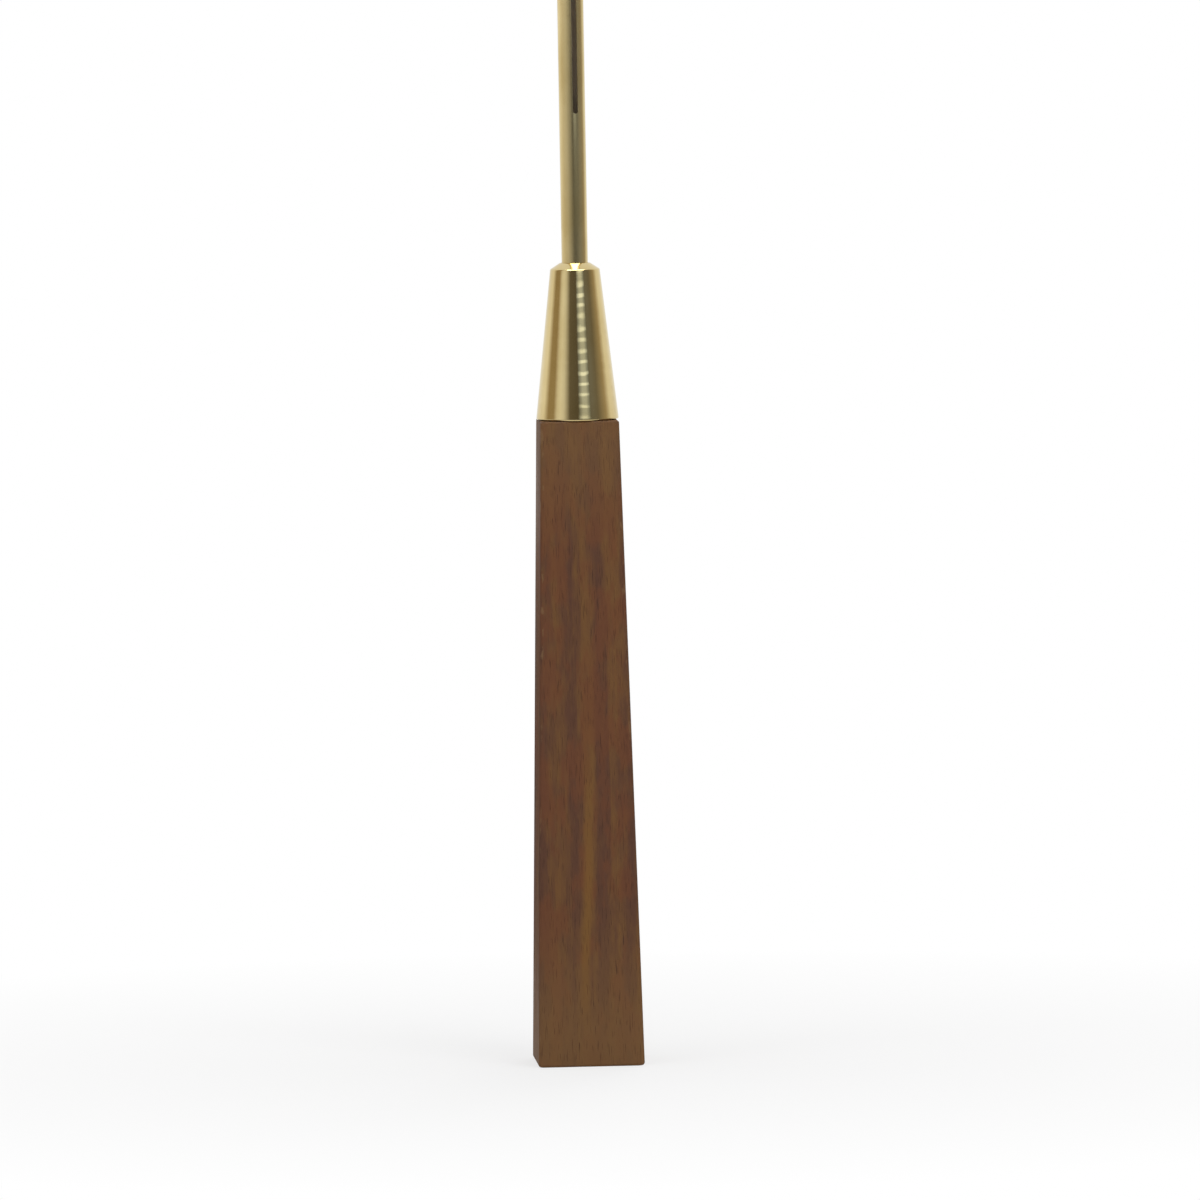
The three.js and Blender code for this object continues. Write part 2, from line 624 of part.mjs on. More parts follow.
// The bead on the arm, from the bell's crown upwards: a swelling body and a short neck.
function bellBead() {
  const outer = BEAD_DIAMETER / 2;
  const neckRadius = armFit + BEAD_NECK_WALL;
  const bodyTop = SEAT_GAP + BEAD_BODY_HEIGHT;
  const path = new THREE.Path();
  path.moveTo(armFit, SEAT_GAP);
  path.lineTo(BELL_CROWN_DIAMETER / 2, SEAT_GAP);
  path.bezierCurveTo(outer, SEAT_GAP, outer, bodyTop, neckRadius, bodyTop);
  path.lineTo(neckRadius, bodyTop + BEAD_NECK_HEIGHT);
  path.lineTo(armFit, bodyTop + BEAD_NECK_HEIGHT);
  path.closePath();
  return turned(path, SMALL_ROUND_STEPS, CURVE_STEPS);
}

// Runs a path along one face of the bell's wall: up the outside, or down the inside by the wall's inset.
function addBellSide(path, inset, upwards) {
  const lip = { r: BELL_MOUTH_DIAMETER / 2 - BELL_LIP_PROUD - inset, z: BELL_LIP_HEIGHT - BELL_HEIGHT };
  const waist = { r: BELL_WAIST_DIAMETER / 2 - inset, z: -BELL_SHOULDER_DROP };
  const crown = { r: BELL_CROWN_DIAMETER / 2, z: -inset };
  const flareHeight = (lip.z + waist.z) / 2;
  if (upwards) {
    path.lineTo(lip.r, lip.z);
    path.quadraticCurveTo(waist.r, flareHeight, waist.r, waist.z);
    path.quadraticCurveTo(waist.r, crown.z, crown.r, crown.z);
  } else {
    path.lineTo(crown.r, crown.z);
    path.quadraticCurveTo(waist.r, crown.z, waist.r, waist.z);
    path.quadraticCurveTo(waist.r, flareHeight, lip.r, lip.z);
  }
}

// The bell below its crown: a thin wall that flares to a proud lip, with a hole in the crown.
function bell() {
  const mouth = BELL_MOUTH_DIAMETER / 2;
  const path = new THREE.Path();
  path.moveTo(mouth - BELL_LIP_PROUD - BELL_WALL, -BELL_HEIGHT);
  path.lineTo(mouth, -BELL_HEIGHT);
  path.lineTo(mouth, BELL_LIP_HEIGHT - BELL_HEIGHT);
  addBellSide(path, 0, true);
  path.lineTo(threadFit, 0);
  path.lineTo(threadFit, -BELL_WALL);
  addBellSide(path, BELL_WALL, false);
  path.closePath();
  return turned(path, ROUND_STEPS, CURVE_STEPS);
}

// Washer and nut hang below the crown's flat underside, on the arm's thread.
function bellWasher() {
  return washer(BELL_CROWN_DIAMETER / 2 - FIT_GAP, threadFit, washerTop - WASHER_THICKNESS, washerTop);
}

function bellNut() {
  const bottom = nutTop - NUT_HEIGHT;
  return cut(hexagon(NUT_ACROSS_FLATS, bottom, nutTop), rod(threadFit, bottom - OVERCUT, nutTop + OVERCUT));
}

// The assembly.
const lighter = new THREE.Group();

addPiece(lighter, "handle", handle(), WALNUT);
const neck = addGroup(lighter, ferruleBase);
addPiece(neck, "ferrule", ferrule(), BRASS);
addPiece(neck, "hanger_bolt", hangerBolt(), STEEL);

const tubeUnit = addGroup(lighter, 0);
tubeUnit.rotation.z = radians(SLOT_TURN);
addPiece(tubeUnit, "main_tube", mainTube(), BRASS);

const slide = addGroup(tubeUnit, slideHeight);
addPiece(slide, "slide_sleeve", slideSleeve(), BRASS);
addPiece(slide, "wick_carrier", wickCarrier(), BRASS);
addPiece(slide, "wax_taper", waxTaper(), WAX);
addPiece(slide, "wick_core", wickCore(), COTTON);

const thumbscrew = addGroup(slide, 0);
thumbscrew.rotation.x = QUARTER_TURN;
addPiece(thumbscrew, "thumb_washer", thumbWasher(), STEEL);
addPiece(thumbscrew, "thumb_stud", thumbStud(), STEEL);
addPiece(thumbscrew, "thumb_knob", thumbKnob(), BRASS);

const tip = addGroup(lighter, tubeTop);
addPiece(tip, "wick_nozzle", wickNozzle(), BRASS);

const head = addGroup(lighter, collarHeight);
addPiece(head, "branch_collar", branchCollar(), BRASS);
addPiece(head, "collar_set_screw", collarSetScrew(), STEEL);
addPiece(head, "arm_set_screw", armSetScrew(), STEEL);
addPiece(head, "bell_arm", bellArm(), BRASS);

const snuffer = addGroup(head, bellCrown);
snuffer.position.x = bellAcross;
addPiece(snuffer, "bell_bead", bellBead(), BRASS);
addPiece(snuffer, "bell", bell(), BRASS);
addPiece(snuffer, "bell_washer", bellWasher(), STEEL);
addPiece(snuffer, "bell_nut", bellNut(), BRASS);

export default lighter;
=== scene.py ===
"""The looks of a candle lighter.

It has a walnut handle, a turned ferrule, a slotted tube, a slide with a taper, a nozzle and a bell snuffer.
Shapes are drawn in millimetres along the frame's own axes: +Z up the tube, -Y out of the handle's front and
+X towards the bell. The camera, the lights and the floor are in metres.
"""

import json
import math

import bpy
from mathutils import Matrix, Vector, noise


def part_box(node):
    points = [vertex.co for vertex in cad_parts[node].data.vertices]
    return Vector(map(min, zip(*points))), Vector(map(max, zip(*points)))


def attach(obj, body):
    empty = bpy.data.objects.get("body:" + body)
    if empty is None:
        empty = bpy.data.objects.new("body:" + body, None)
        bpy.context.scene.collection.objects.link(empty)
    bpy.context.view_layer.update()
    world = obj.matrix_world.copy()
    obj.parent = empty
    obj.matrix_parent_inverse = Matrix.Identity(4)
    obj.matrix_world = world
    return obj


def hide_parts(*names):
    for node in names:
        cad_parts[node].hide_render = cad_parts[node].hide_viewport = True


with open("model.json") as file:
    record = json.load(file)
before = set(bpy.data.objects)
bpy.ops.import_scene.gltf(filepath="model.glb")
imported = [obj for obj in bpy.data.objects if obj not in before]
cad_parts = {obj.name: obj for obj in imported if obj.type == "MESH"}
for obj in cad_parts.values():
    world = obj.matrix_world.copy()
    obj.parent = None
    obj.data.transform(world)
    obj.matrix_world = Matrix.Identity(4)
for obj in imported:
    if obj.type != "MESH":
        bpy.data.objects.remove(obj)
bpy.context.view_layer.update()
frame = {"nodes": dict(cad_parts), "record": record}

MM = 0.001
RECORD = frame["record"]
BODY_OF = {node: body for body, nodes in RECORD["behaviour"]["bodies"].items() for node in nodes}

# How finely forms are drawn: steps round them, along curves, and in each knurl, ripple and turn of thread.
SEGMENTS = 128
SMALL_SEGMENTS = 48
ARC_STEPS = 6
CURVE_STEPS = 20
ARCH_STEPS = 60
KNURL_STEPS = 8
RIPPLE_STEPS = 4
THREAD_STEPS = 8

# Faces that meet at less than this angle look smooth.
SMOOTH_ANGLE = math.radians(32)

# In millimetres: a radius that counts as none, and how far a cutter goes past what it cuts.
ON_AXIS = 1e-6
OVERCUT = 1.0

# How far edges are rounded, in millimetres.
SLIGHT_EDGE = 0.1
THIN_EDGE = 0.12
SMALL_EDGE = 0.15
PLAIN_EDGE = 0.2
NOZZLE_RIM_EDGE = 0.25
SOFT_EDGE = 0.3
FERRULE_SHOULDER_EDGE = 0.35
BELL_MOUTH_EDGE = 0.45
RIM_EDGE = 0.5
FERRULE_BASE_EDGE = 0.6

# How much of a rim's depth its sweep into the waist takes.
RIM_SWEEP_SHARE = 0.85

# Handle, in millimetres.
FOOT_SIDE = 32.2
NECK_SIDE = 23.8
HANDLE_EDGE_RADIUS = 1.2
HANDLE_FOOT_RADIUS = 1.0
HANDLE_NECK_CHAMFER = 0.4
SPIGOT_RADIUS = 7.0
SPIGOT_LENGTH = 5.0
BOLT_HOLE_RADIUS = 3.325
BOLT_HOLE_DEPTH = 44.1

# Ferrule.
FERRULE_CONE_HEIGHT = 45.4
FERRULE_LENGTH = 47.3
FERRULE_BASE_RADIUS = 12.5
FERRULE_SHOULDER_RADIUS = 7.5
FERRULE_TOP_RADIUS = 4.52
TUBE_SEAT_DEPTH = 26.0

# Tube and slot.
TUBE_RADIUS = 3.97
TUBE_BORE = 3.17
TUBE_FIT = 4.12
SLOT_WIDTH = 1.6
SLOT_END_RADIUS = SLOT_WIDTH / 2
SLOT_START_ABOVE_FERRULE = 45.1
SLOT_LENGTH = 240.9
SLOT_TURN = math.radians(12)

# Slide and thumbscrew.
SLEEVE_BORE = 4.17
SLEEVE_WAIST = 6.17
SLEEVE_RIM = 7.17
SLEEVE_RIM_HEIGHT = 2.6
STUD_RADIUS = 1.5
STUD_HOLE = 1.65
STUD_POINT = 0.65
STUD_POINT_START = 1.67
STUD_SHOULDER = 4.17
SPOT_FACE = 5.57
SPOT_RADIUS = 3.5
THUMB_WASHER_RADIUS = 3.3
THUMB_WASHER_BASE = 5.67
THUMB_WASHER_TOP = 6.37
KNOB_BASE = 6.47
KNOB_HEAD_BASE = 8.07
KNOB_TOP = 13.07
KNOB_RADIUS = 5.7
KNOB_NECK_RADIUS = 3.2
KNOB_EDGE_CHAMFER = 0.7
KNOB_DISH_DEPTH = 0.6
KNOB_CAP = 1.2
KNURL_COUNT = 30
KNURL_DEPTH = 0.45

# Taper and nozzle.
TAPER_RADIUS = 1.6
TAPER_POINT_LENGTH = 5.0
TAPER_POINT_RADIUS = 1.0
TAPER_RIPPLE = 0.05
TAPER_RIPPLE_LENGTH = 9.0
WICK_HOLE = 0.75
WICK_IN_WAX = 8.0
WICK_RADIUS = 0.6
WICK_STRANDS = 3
WICK_GROOVE = 0.17
WICK_TWIST = 4.2
NOZZLE_SKIRT = 5.22
NOZZLE_RIM = 5.92
NOZZLE_RIM_HEIGHT = 2.0
NOZZLE_SKIRT_LENGTH = 9.0
NOZZLE_TIP = 3.1
NOZZLE_LAND = 0.3
NOZZLE_BORE = 2.0
SEAT_GAP = 0.1

# Collar, arm and bell.
COLLAR_RADIUS = 6.82
COLLAR_RIM = 7.62
COLLAR_HEIGHT = 16.0
COLLAR_RIM_HEIGHT = 2.2
BOSS_RADIUS = 4.4
BOSS_REACH = 16.04
BOSS_CHAMFER = 0.6
SOCKET_FLOOR = 9.04
SOCKET_RADIUS = 2.65
SCREW_RADIUS = 1.5
SCREW_HOLE = 1.65
SCREW_KEY_ACROSS = 1.5
SCREW_KEY_DEPTH = 1.2
ARM_SCREW_PLACE = 12.54
ARM_RADIUS = 2.5
ARM_RISE = math.radians(45)
ARM_BEND_RADIUS = 22.0
ARM_DROP = 9.0
THREAD_RADIUS = 2.0
THREAD_PITCH = 0.7
THREAD_DEPTH = 0.3
THREAD_HOLE = 2.15
BELL_LIP = 16.5
BELL_LIP_HEIGHT = 1.6
BELL_WAIST = 11.0
BELL_CROWN = 4.5
BELL_SHOULDER_DROP = 9.0
BELL_WALL = 1.3
BEAD_RADIUS = 4.8
BEAD_BODY_HEIGHT = 4.6
BEAD_NECK_RADIUS = 3.55
BEAD_EASE = 0.15
WASHER_INSET = 0.15
NUT_ACROSS_FLATS = 7.0
HEXAGON = 6


def node_box(node):
    """A node's lowest and highest corners, in millimetres."""
    low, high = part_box(node)
    return low / MM, high / MM


# Places that the frame gives, in millimetres.
handle_top = node_box("handle")[1].z
ferrule_top = node_box("ferrule")[1].z
ferrule_base = ferrule_top - FERRULE_LENGTH
tube_bottom, tube_top = (corner.z for corner in node_box("main_tube"))
slide_height = sum(corner.z for corner in node_box("slide_sleeve")) / 2
sleeve_half = (node_box("slide_sleeve")[1].z - node_box("slide_sleeve")[0].z) / 2
taper_bottom, taper_top = (corner.z for corner in node_box("wax_taper"))
wick_bottom, wick_top = (corner.z for corner in node_box("wick_core"))
nozzle_top = node_box("wick_nozzle")[1].z
collar_height = node_box("branch_collar")[0].z + COLLAR_HEIGHT / 2
bell_low, bell_high = node_box("bell")
bell_across = (bell_low.x + bell_high.x) / 2
thread_end = node_box("bell_arm")[0].z
washer_bottom, washer_top = (corner.z for corner in node_box("bell_washer"))
nut_bottom, nut_top = (corner.z for corner in node_box("bell_nut"))
bead_bottom, bead_top = (corner.z for corner in node_box("bell_bead"))

tube_turn = Matrix.Rotation(SLOT_TURN, 4, "Z")
front = Matrix.Rotation(math.pi / 2, 4, "X")
thumb_axis = Matrix.Translation((0, 0, slide_height)) @ tube_turn @ front
collar_place = Matrix.Translation((0, 0, collar_height))
arm_lean = collar_place @ Matrix.Rotation(math.pi / 2 - ARM_RISE, 4, "Y")
collar_screw_axis = collar_place @ Matrix.Rotation(-math.pi / 2, 4, "Y")
arm_screw_place = arm_lean @ Matrix.Translation((0, 0, ARM_SCREW_PLACE))
arm_screw_axis = arm_screw_place @ Matrix.Rotation(-math.pi / 2, 4, "X")
bell_axis = Matrix.Translation((bell_across, 0, 0))


# Outlines: lists of (radius, height) that run up the outside of a turned form.
def curve(start, control, end):
    """Points of a quadratic curve, without its start, as corners with no rounding."""
    points = []
    for step in range(1, CURVE_STEPS + 1):
        t = step / CURVE_STEPS
        weights = ((1 - t) ** 2, 2 * t * (1 - t), t * t)
        radius, height = (sum(w * p[i] for w, p in zip(weights, (start, control, end))) for i in (0, 1))
        points.append((radius, height, 0))
    return points


def rounded(corners):
    """Corners of (radius, height, rounding) as an outline, with each corner rounded over that distance."""
    points = []
    for i, (radius, height, rounding) in enumerate(corners):
        here = Vector((radius, height))
        if not rounding:
            points.append(here)
            continue
        before = here + rounding * (Vector(corners[i - 1][:2]) - here).normalized()
        after = here + rounding * (Vector(corners[(i + 1) % len(corners)][:2]) - here).normalized()
        for step in range(ARC_STEPS + 1):
            t = step / ARC_STEPS
            points.append(before.lerp(here, t).lerp(here.lerp(after, t), t))
    return points


# Shapes: pairs of vertices and faces, in millimetres.
def turned(outline, closed=True, segments=SEGMENTS, radius_at=None):
    """An outline turned about Z. An open one starts and ends on the axis.

    radius_at(radius, angle, height) may change the radius.
    """
    vertices, rows, faces = [], [], []
    for radius, height in outline:
        if radius < ON_AXIS:
            rows.append([len(vertices)] * segments)
            vertices.append(Vector((0, 0, height)))
            continue
        rows.append(range(len(vertices), len(vertices) + segments))
        for k in range(segments):
            angle = 2 * math.pi * k / segments
            reach = radius_at(radius, angle, height) if radius_at else radius
            vertices.append(Vector((reach * math.cos(angle), reach * math.sin(angle), height)))
    for low, high in zip(rows, rows[1:] + rows[:1] if closed else rows[1:]):
        for k in range(segments):
            after = (k + 1) % segments
            corners = dict.fromkeys((low[k], low[after], high[after], high[k]))
            if len(corners) > 2:
                faces.append(tuple(corners))
    return vertices, faces


def rod(radius, start, end, edge=0, segments=SMALL_SEGMENTS):
    """A solid rod along Z, with its end edges rounded."""
    corners = [(0, start, 0), (radius, start, edge), (radius, end, edge), (0, end, 0)]
    return turned(rounded(corners), closed=False, segments=segments)


def ring(bore, outer, start, end, edge, segments=SMALL_SEGMENTS):
    """A ring along Z, with all its edges rounded."""
    corners = [(bore, start, edge), (outer, start, edge), (outer, end, edge), (bore, end, edge)]
    return turned(rounded(corners), segments=segments)


def prism(sides, across_flats, start, end):
    """A regular prism along Z."""
    radius = across_flats / 2 / math.cos(math.pi / sides)
    return turned([(0, start), (radius, start), (radius, end), (0, end)], closed=False, segments=sides)


def swept(centres, radius_at, sides=SMALL_SEGMENTS):
    """A round bar along points whose bends lie about the Y axis. radius_at(row, angle) is its radius."""
    vertices, faces = [], []
    count = len(centres)
    for row, centre in enumerate(centres):
        tangent = (centres[min(row + 1, count - 1)] - centres[max(row - 1, 0)]).normalized()
        across = tangent.cross(Vector((0, 1, 0))).normalized()
        other = tangent.cross(across)
        for k in range(sides):
            angle = 2 * math.pi * k / sides
            offset = math.cos(angle) * across + math.sin(angle) * other
            vertices.append(centre + radius_at(row, angle) * offset)
    for row in range(count - 1):
        for k in range(sides):
            after = (k + 1) % sides
            low, high = row * sides, (row + 1) * sides
            faces.append((low + k, low + after, high + after, high + k))
    faces.append(tuple(reversed(range(sides))))
    faces.append(tuple(range((count - 1) * sides, count * sides)))
    return vertices, faces


def placed(shape, place):
    """A shape moved by a matrix."""
    vertices, faces = shape
    return [place @ vertex for vertex in vertices], faces


def combined(shape, others, operation):
    """A shape after a boolean operation with each of the others."""
    link = bpy.context.scene.collection.objects.link
    objects = []
    for vertices, faces in (shape, *others):
        mesh = bpy.data.meshes.new("shape")
        mesh.from_pydata(vertices, [], faces)
        objects.append(bpy.data.objects.new("shape", mesh))
        link(objects[-1])
    for other in objects[1:]:
        step = objects[0].modifiers.new("combine", "BOOLEAN")
        step.object = other
        step.operation = operation
        step.solver = "EXACT"
    result = objects[0].evaluated_get(bpy.context.evaluated_depsgraph_get()).to_mesh()
    made = [v.co.copy() for v in result.vertices], [tuple(p.vertices) for p in result.polygons]
    for made_object in objects:
        bpy.data.objects.remove(made_object)
    return made


def show(node, shape, material):
    """Makes the finished piece that stands for a node, on the node's body and in its material slot."""
    vertices, faces = shape
    mesh = bpy.data.meshes.new(node + "_form")
    mesh.from_pydata([MM * vertex for vertex in vertices], [], faces)
    mesh.shade_smooth()
    mesh.set_sharp_from_angle(angle=SMOOTH_ANGLE)
    mesh.materials.append(material)
    piece = bpy.data.objects.new(node + "_form", mesh)
    bpy.context.scene.collection.objects.link(piece)
    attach(piece, BODY_OF[node])
    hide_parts(node)


# A Mix node's sockets for colours, which share their names with its other sockets.
MIX_SHARE = 0
MIX_FIRST = 6
MIX_SECOND = 7
MIX_RESULT = 2
NOISE_MIDDLE = 0.5


# Materials. Their patterns follow the object's own coordinates, in millimetres.
class Look:
    """A material whose nodes are added by short calls. Values are numbers or the sockets of other nodes."""

    def __init__(self, name):
        self.material = bpy.data.materials.new(name)
        self.material.use_nodes = True
        self.tree = self.material.node_tree
        self.shader = self.tree.nodes["Principled BSDF"]
        objects = self.add("ShaderNodeTexCoord", {})["Object"]
        scale = {"Vector": objects, "Scale": 1 / MM}
        self.place = self.add("ShaderNodeVectorMath", scale, operation="SCALE")["Vector"]

    def add(self, kind, inputs, **settings):
        made = self.tree.nodes.new(kind)
        for name, value in settings.items():
            setattr(made, name, value)
        for name, value in inputs.items():
            self.put(made.inputs[name], value)
        return made.outputs

    def put(self, socket, value):
        if isinstance(value, bpy.types.NodeSocket):
            self.tree.links.new(value, socket)
        else:
            socket.default_value = value

    def finish(self, **inputs):
        for name, value in inputs.items():
            self.put(self.shader.inputs[name.replace("_", " ")], value)
        return self.material

    def math(self, operation, first, second=0.0, third=0.0):
        inputs = {0: first, 1: second, 2: third}
        return self.add("ShaderNodeMath", inputs, operation=operation)["Value"]

    def vector(self, operation, first, second):
        return self.add("ShaderNodeVectorMath", {0: first, 1: second}, operation=operation)["Vector"]

    def length(self, vector):
        return self.add("ShaderNodeVectorMath", {0: vector}, operation="LENGTH")["Value"]

    def stretched(self, scale, offset=(0, 0, 0)):
        """The place moved by an offset, then scaled along each axis."""
        return self.vector("MULTIPLY", self.vector("ADD", self.place, offset), scale)

    def noise(self, vector, detail=2.0, roughness=0.5):
        inputs = {"Vector": vector, "Scale": 1.0, "Detail": detail, "Roughness": roughness}
        return self.add("ShaderNodeTexNoise", inputs)["Fac"]

    def centred(self, value):
        """A noise moved to vary about 0."""
        return self.math("SUBTRACT", value, NOISE_MIDDLE)

    def span(self, value, low, high, to_low=0.0, to_high=1.0):
        """A value eased from one span to another, and held at its ends."""
        inputs = {"Value": value, "From Min": low, "From Max": high, "To Min": to_low, "To Max": to_high}
        return self.add("ShaderNodeMapRange", inputs, interpolation_type="SMOOTHSTEP")["Result"]

    def mix(self, share, first, second):
        inputs = {MIX_SHARE: share, MIX_FIRST: first, MIX_SECOND: second}
        return self.add("ShaderNodeMix", inputs, data_type="RGBA")[MIX_RESULT]

    def bump(self, height, depth, normal=None):
        """A bump whose height of 1 stands that many millimetres high."""
        inputs = {"Height": height, "Distance": depth * MM, "Strength": 1.0}
        if normal:
            inputs["Normal"] = normal
        return self.add("ShaderNodeBump", inputs)["Normal"]


# Walnut colours, as linear light.
WALNUT_DARK = (0.103, 0.0475, 0.0290, 1)
WALNUT_LIGHT = (0.158, 0.0760, 0.0290, 1)
WALNUT_GOLD = (0.195, 0.096, 0.027, 1)
WALNUT_PALE = (0.177, 0.094, 0.0385, 1)
WALNUT_RED = (0.150, 0.056, 0.026, 1)
WALNUT_PORE = (0.040, 0.019, 0.013, 1)
WALNUT_WORN = (0.23, 0.135, 0.065, 1)

# Growth rings about a pith that lies beside the handle, in millimetres and radians.
AXIS_FROM_PITH = (150.0, -40.0)
RING_SPACING = 8.2
RING_PHASE = 3.0
RING_WANDER = 3.5

# How finely each pattern of the walnut is drawn along the axes, per millimetre.
WANDER_SCALE = (0.06, 0.06, 0.014)
STREAK_SCALE = (0.5, 0.5, 0.006)
FIBRE_SCALE = (3.2, 3.2, 0.05)
PORE_SCALE = (5.5, 5.5, 0.16)
MOTTLE_SCALE = (0.45, 0.45, 0.11)
PATCH_SCALE = (0.13, 0.13, 0.05)
KNOCK_SCALE = (0.5, 0.5, 0.22)
SHEEN_SCALE = (0.12, 0.12, 0.03)

# Spans of a pattern or of millimetres, each with the values that its ends are eased to, or else 0 and 1.
DRIFT_NEAR_FOOT = (15, 95, -2.4, 0.0)
DRIFT_NEAR_NECK = (120, 190, 0.0, -2.5)
STREAK_TONES = (0.3, 0.7, 0.0, 0.4)
WOOD_TONES = (0.05, 0.9)
RED_PATCHES = (0.46, 0.6, 0.0, 0.65)
PALE_FOOT = (0, 55, 0.75, 0.0)
PALE_NECK = (150, 195, 0.0, 0.55)
GOLD_ACROSS = (0.3, 1.9, 1.0, 0.0)
GOLD_RISES = (2, 40)
GOLD_FADES = (60, 120, 1.0, 0.0)
GOLD_IN_FRONT = (-6, 2, 1.0, 0.0)
DARK_PORES = (0.62, 0.72, 0.0, 0.6)
NEAR_ARRIS = (0.4, 1.1, 1.0, 0.0)
KNOCKED = (0.58, 0.7)
PORE_PITS = (0.6, 0.72, 0.5, 0.0)
WALNUT_SHEEN = (0.3, 0.7, 0.52, 0.66)

# How much each pattern of the walnut shows.
RING_SHARE = 0.5
FIBRE_SHARE = 0.6
MOTTLE_SHARE = 1.1
GOLD_SHARE = 0.7
WEAR_SHARE = 0.5
FIBRE_HEIGHT = 0.5
WALNUT_GLOSS = 0.1

# The golden streak's place across the handle and the depth of the grain, in millimetres.
GOLD_PLACE = 1.0
GRAIN_DEPTH = 0.05


def walnut():
    """Straight-grained satin walnut with worn arrises.

    It has slow growth rings, fine fibres, pores, and one golden streak near the foot.
    """
    look = Look("walnut")
    across, depth, height = look.add("ShaderNodeSeparateXYZ", {"Vector": look.place}).values()
    drift = look.math("ADD", look.span(height, *DRIFT_NEAR_FOOT), look.span(height, *DRIFT_NEAR_NECK))
    wander = look.centred(look.noise(look.stretched(WANDER_SCALE)))
    straight = look.math("SUBTRACT", across, look.math("MULTIPLY_ADD", wander, RING_WANDER, drift))
    flat = look.add("ShaderNodeCombineXYZ", {"X": straight, "Y": depth, "Z": 0.0})["Vector"]
    radius = look.length(look.vector("ADD", flat, (*AXIS_FROM_PITH, 0)))
    phase = look.math("MULTIPLY_ADD", radius, 2 * math.pi / RING_SPACING, RING_PHASE)
    rings = look.math("MULTIPLY_ADD", look.math("COSINE", phase), 0.5, 0.5)

    streaks = look.noise(look.stretched(STREAK_SCALE), detail=3.0)
    fibres = look.noise(look.stretched(FIBRE_SCALE, offset=(7, 3, 0)), detail=4.0, roughness=0.6)
    pores = look.noise(look.stretched(PORE_SCALE, offset=(0, 11, 4)), detail=1.0)
    mottle = look.noise(look.stretched(MOTTLE_SCALE, offset=(5, 0, 0)))
    tone = look.math("MULTIPLY_ADD", rings, RING_SHARE, look.span(streaks, *STREAK_TONES))
    tone = look.math("MULTIPLY_ADD", look.centred(fibres), FIBRE_SHARE, tone)
    tone = look.math("MULTIPLY_ADD", look.centred(mottle), MOTTLE_SHARE, tone)
    wood = look.mix(look.span(tone, *WOOD_TONES), WALNUT_DARK, WALNUT_LIGHT)

    patches = look.noise(look.stretched(PATCH_SCALE, offset=(0, 0, 30)), detail=3.0, roughness=0.6)
    wood = look.mix(look.span(patches, *RED_PATCHES), wood, WALNUT_RED)
    pale = look.math("ADD", look.span(height, *PALE_FOOT), look.span(height, *PALE_NECK))
    wood = look.mix(pale, wood, WALNUT_PALE)

    off_streak = look.math("ABSOLUTE", look.math("SUBTRACT", straight, GOLD_PLACE))
    low_down = look.math("MULTIPLY", look.span(height, *GOLD_RISES), look.span(height, *GOLD_FADES))
    gold = look.math("MULTIPLY", look.span(off_streak, *GOLD_ACROSS), low_down)
    gold = look.math("MULTIPLY", gold, look.span(depth, *GOLD_IN_FRONT))
    wood = look.mix(look.math("MULTIPLY", gold, GOLD_SHARE), wood, WALNUT_GOLD)
    wood = look.mix(look.span(pores, *DARK_PORES), wood, WALNUT_PORE)

    half_side = look.span(height, 0, handle_top, FOOT_SIDE / 2, NECK_SIDE / 2)
    nearer = look.math("MINIMUM", look.math("ABSOLUTE", across), look.math("ABSOLUTE", depth))
    to_arris = look.math("SUBTRACT", half_side, nearer)
    knocks = look.noise(look.stretched(KNOCK_SCALE, offset=(3, 5, 9)), detail=3.0)
    worn = look.math("MULTIPLY", look.span(to_arris, *NEAR_ARRIS), look.span(knocks, *KNOCKED))
    wood = look.mix(look.math("MULTIPLY", worn, WEAR_SHARE), wood, WALNUT_WORN)

    grain = look.math("MULTIPLY_ADD", fibres, FIBRE_HEIGHT, look.span(pores, *PORE_PITS))
    sheen = look.span(look.noise(look.stretched(SHEEN_SCALE), detail=3.0), *WALNUT_SHEEN)
    return look.finish(
        Base_Color=wood,
        Roughness=sheen,
        Specular_IOR_Level=WALNUT_GLOSS,
        Normal=look.bump(grain, GRAIN_DEPTH),
    )


# Brass colours, as linear light.
BRASS_BRIGHT = (0.68, 0.555, 0.285, 1)
BRASS_TARNISHED = (0.50, 0.375, 0.145, 1)
# Painted light: the bore's pale matt colour lightens the tube's dark inside.
BORE_PAINTED_LIGHT = (0.55, 0.48, 0.38, 1)

# Brass patterns. Marks have a scale for their lines, and a scale and a detail for their ridges.
BRASS_SHIFT = 60
BRASS_CLOUD_SCALE = (0.09, 0.09, 0.05)
BRASS_MARKS = {
    "drawn": ((5.0, 5.0, 0.03), (0.6, 0.6, 0.05), 1.0),
    "turned": ((0.05, 0.05, 7.0), (0.02, 0.02, 0.75), 0.0),
}
TARNISH = (0.35, 0.75, 0.0, 0.5)
BRASS_DULLED = (0.3, 0.7)
DULLED_ROUGHNESS = 0.04
LINE_ROUGHNESS = 0.04
LINE_DEPTH = 0.002
ACROSS_ONLY = (1, 1, 0)
BORE_BLEND_DEPTH = 0.2
BORE_ROUGHNESS = 0.6

# The ferrule's regular ridges: their distance in millimetres, how they stray, lean and vary, and a hollow.
TOOL_FEED = 3.35
FEED_WANDER_SCALE = (0.13, 0.13, 0.16)
FEED_WANDER = 0.8
RIDGE_LEAN = 0.175
CHATTER_SCALE = (0.05, 0.05, 0.2)
CHATTER_DEPTHS = (0.3, 0.7, 0.55, 1.0)
RIDGE_HOLLOW = 0.085


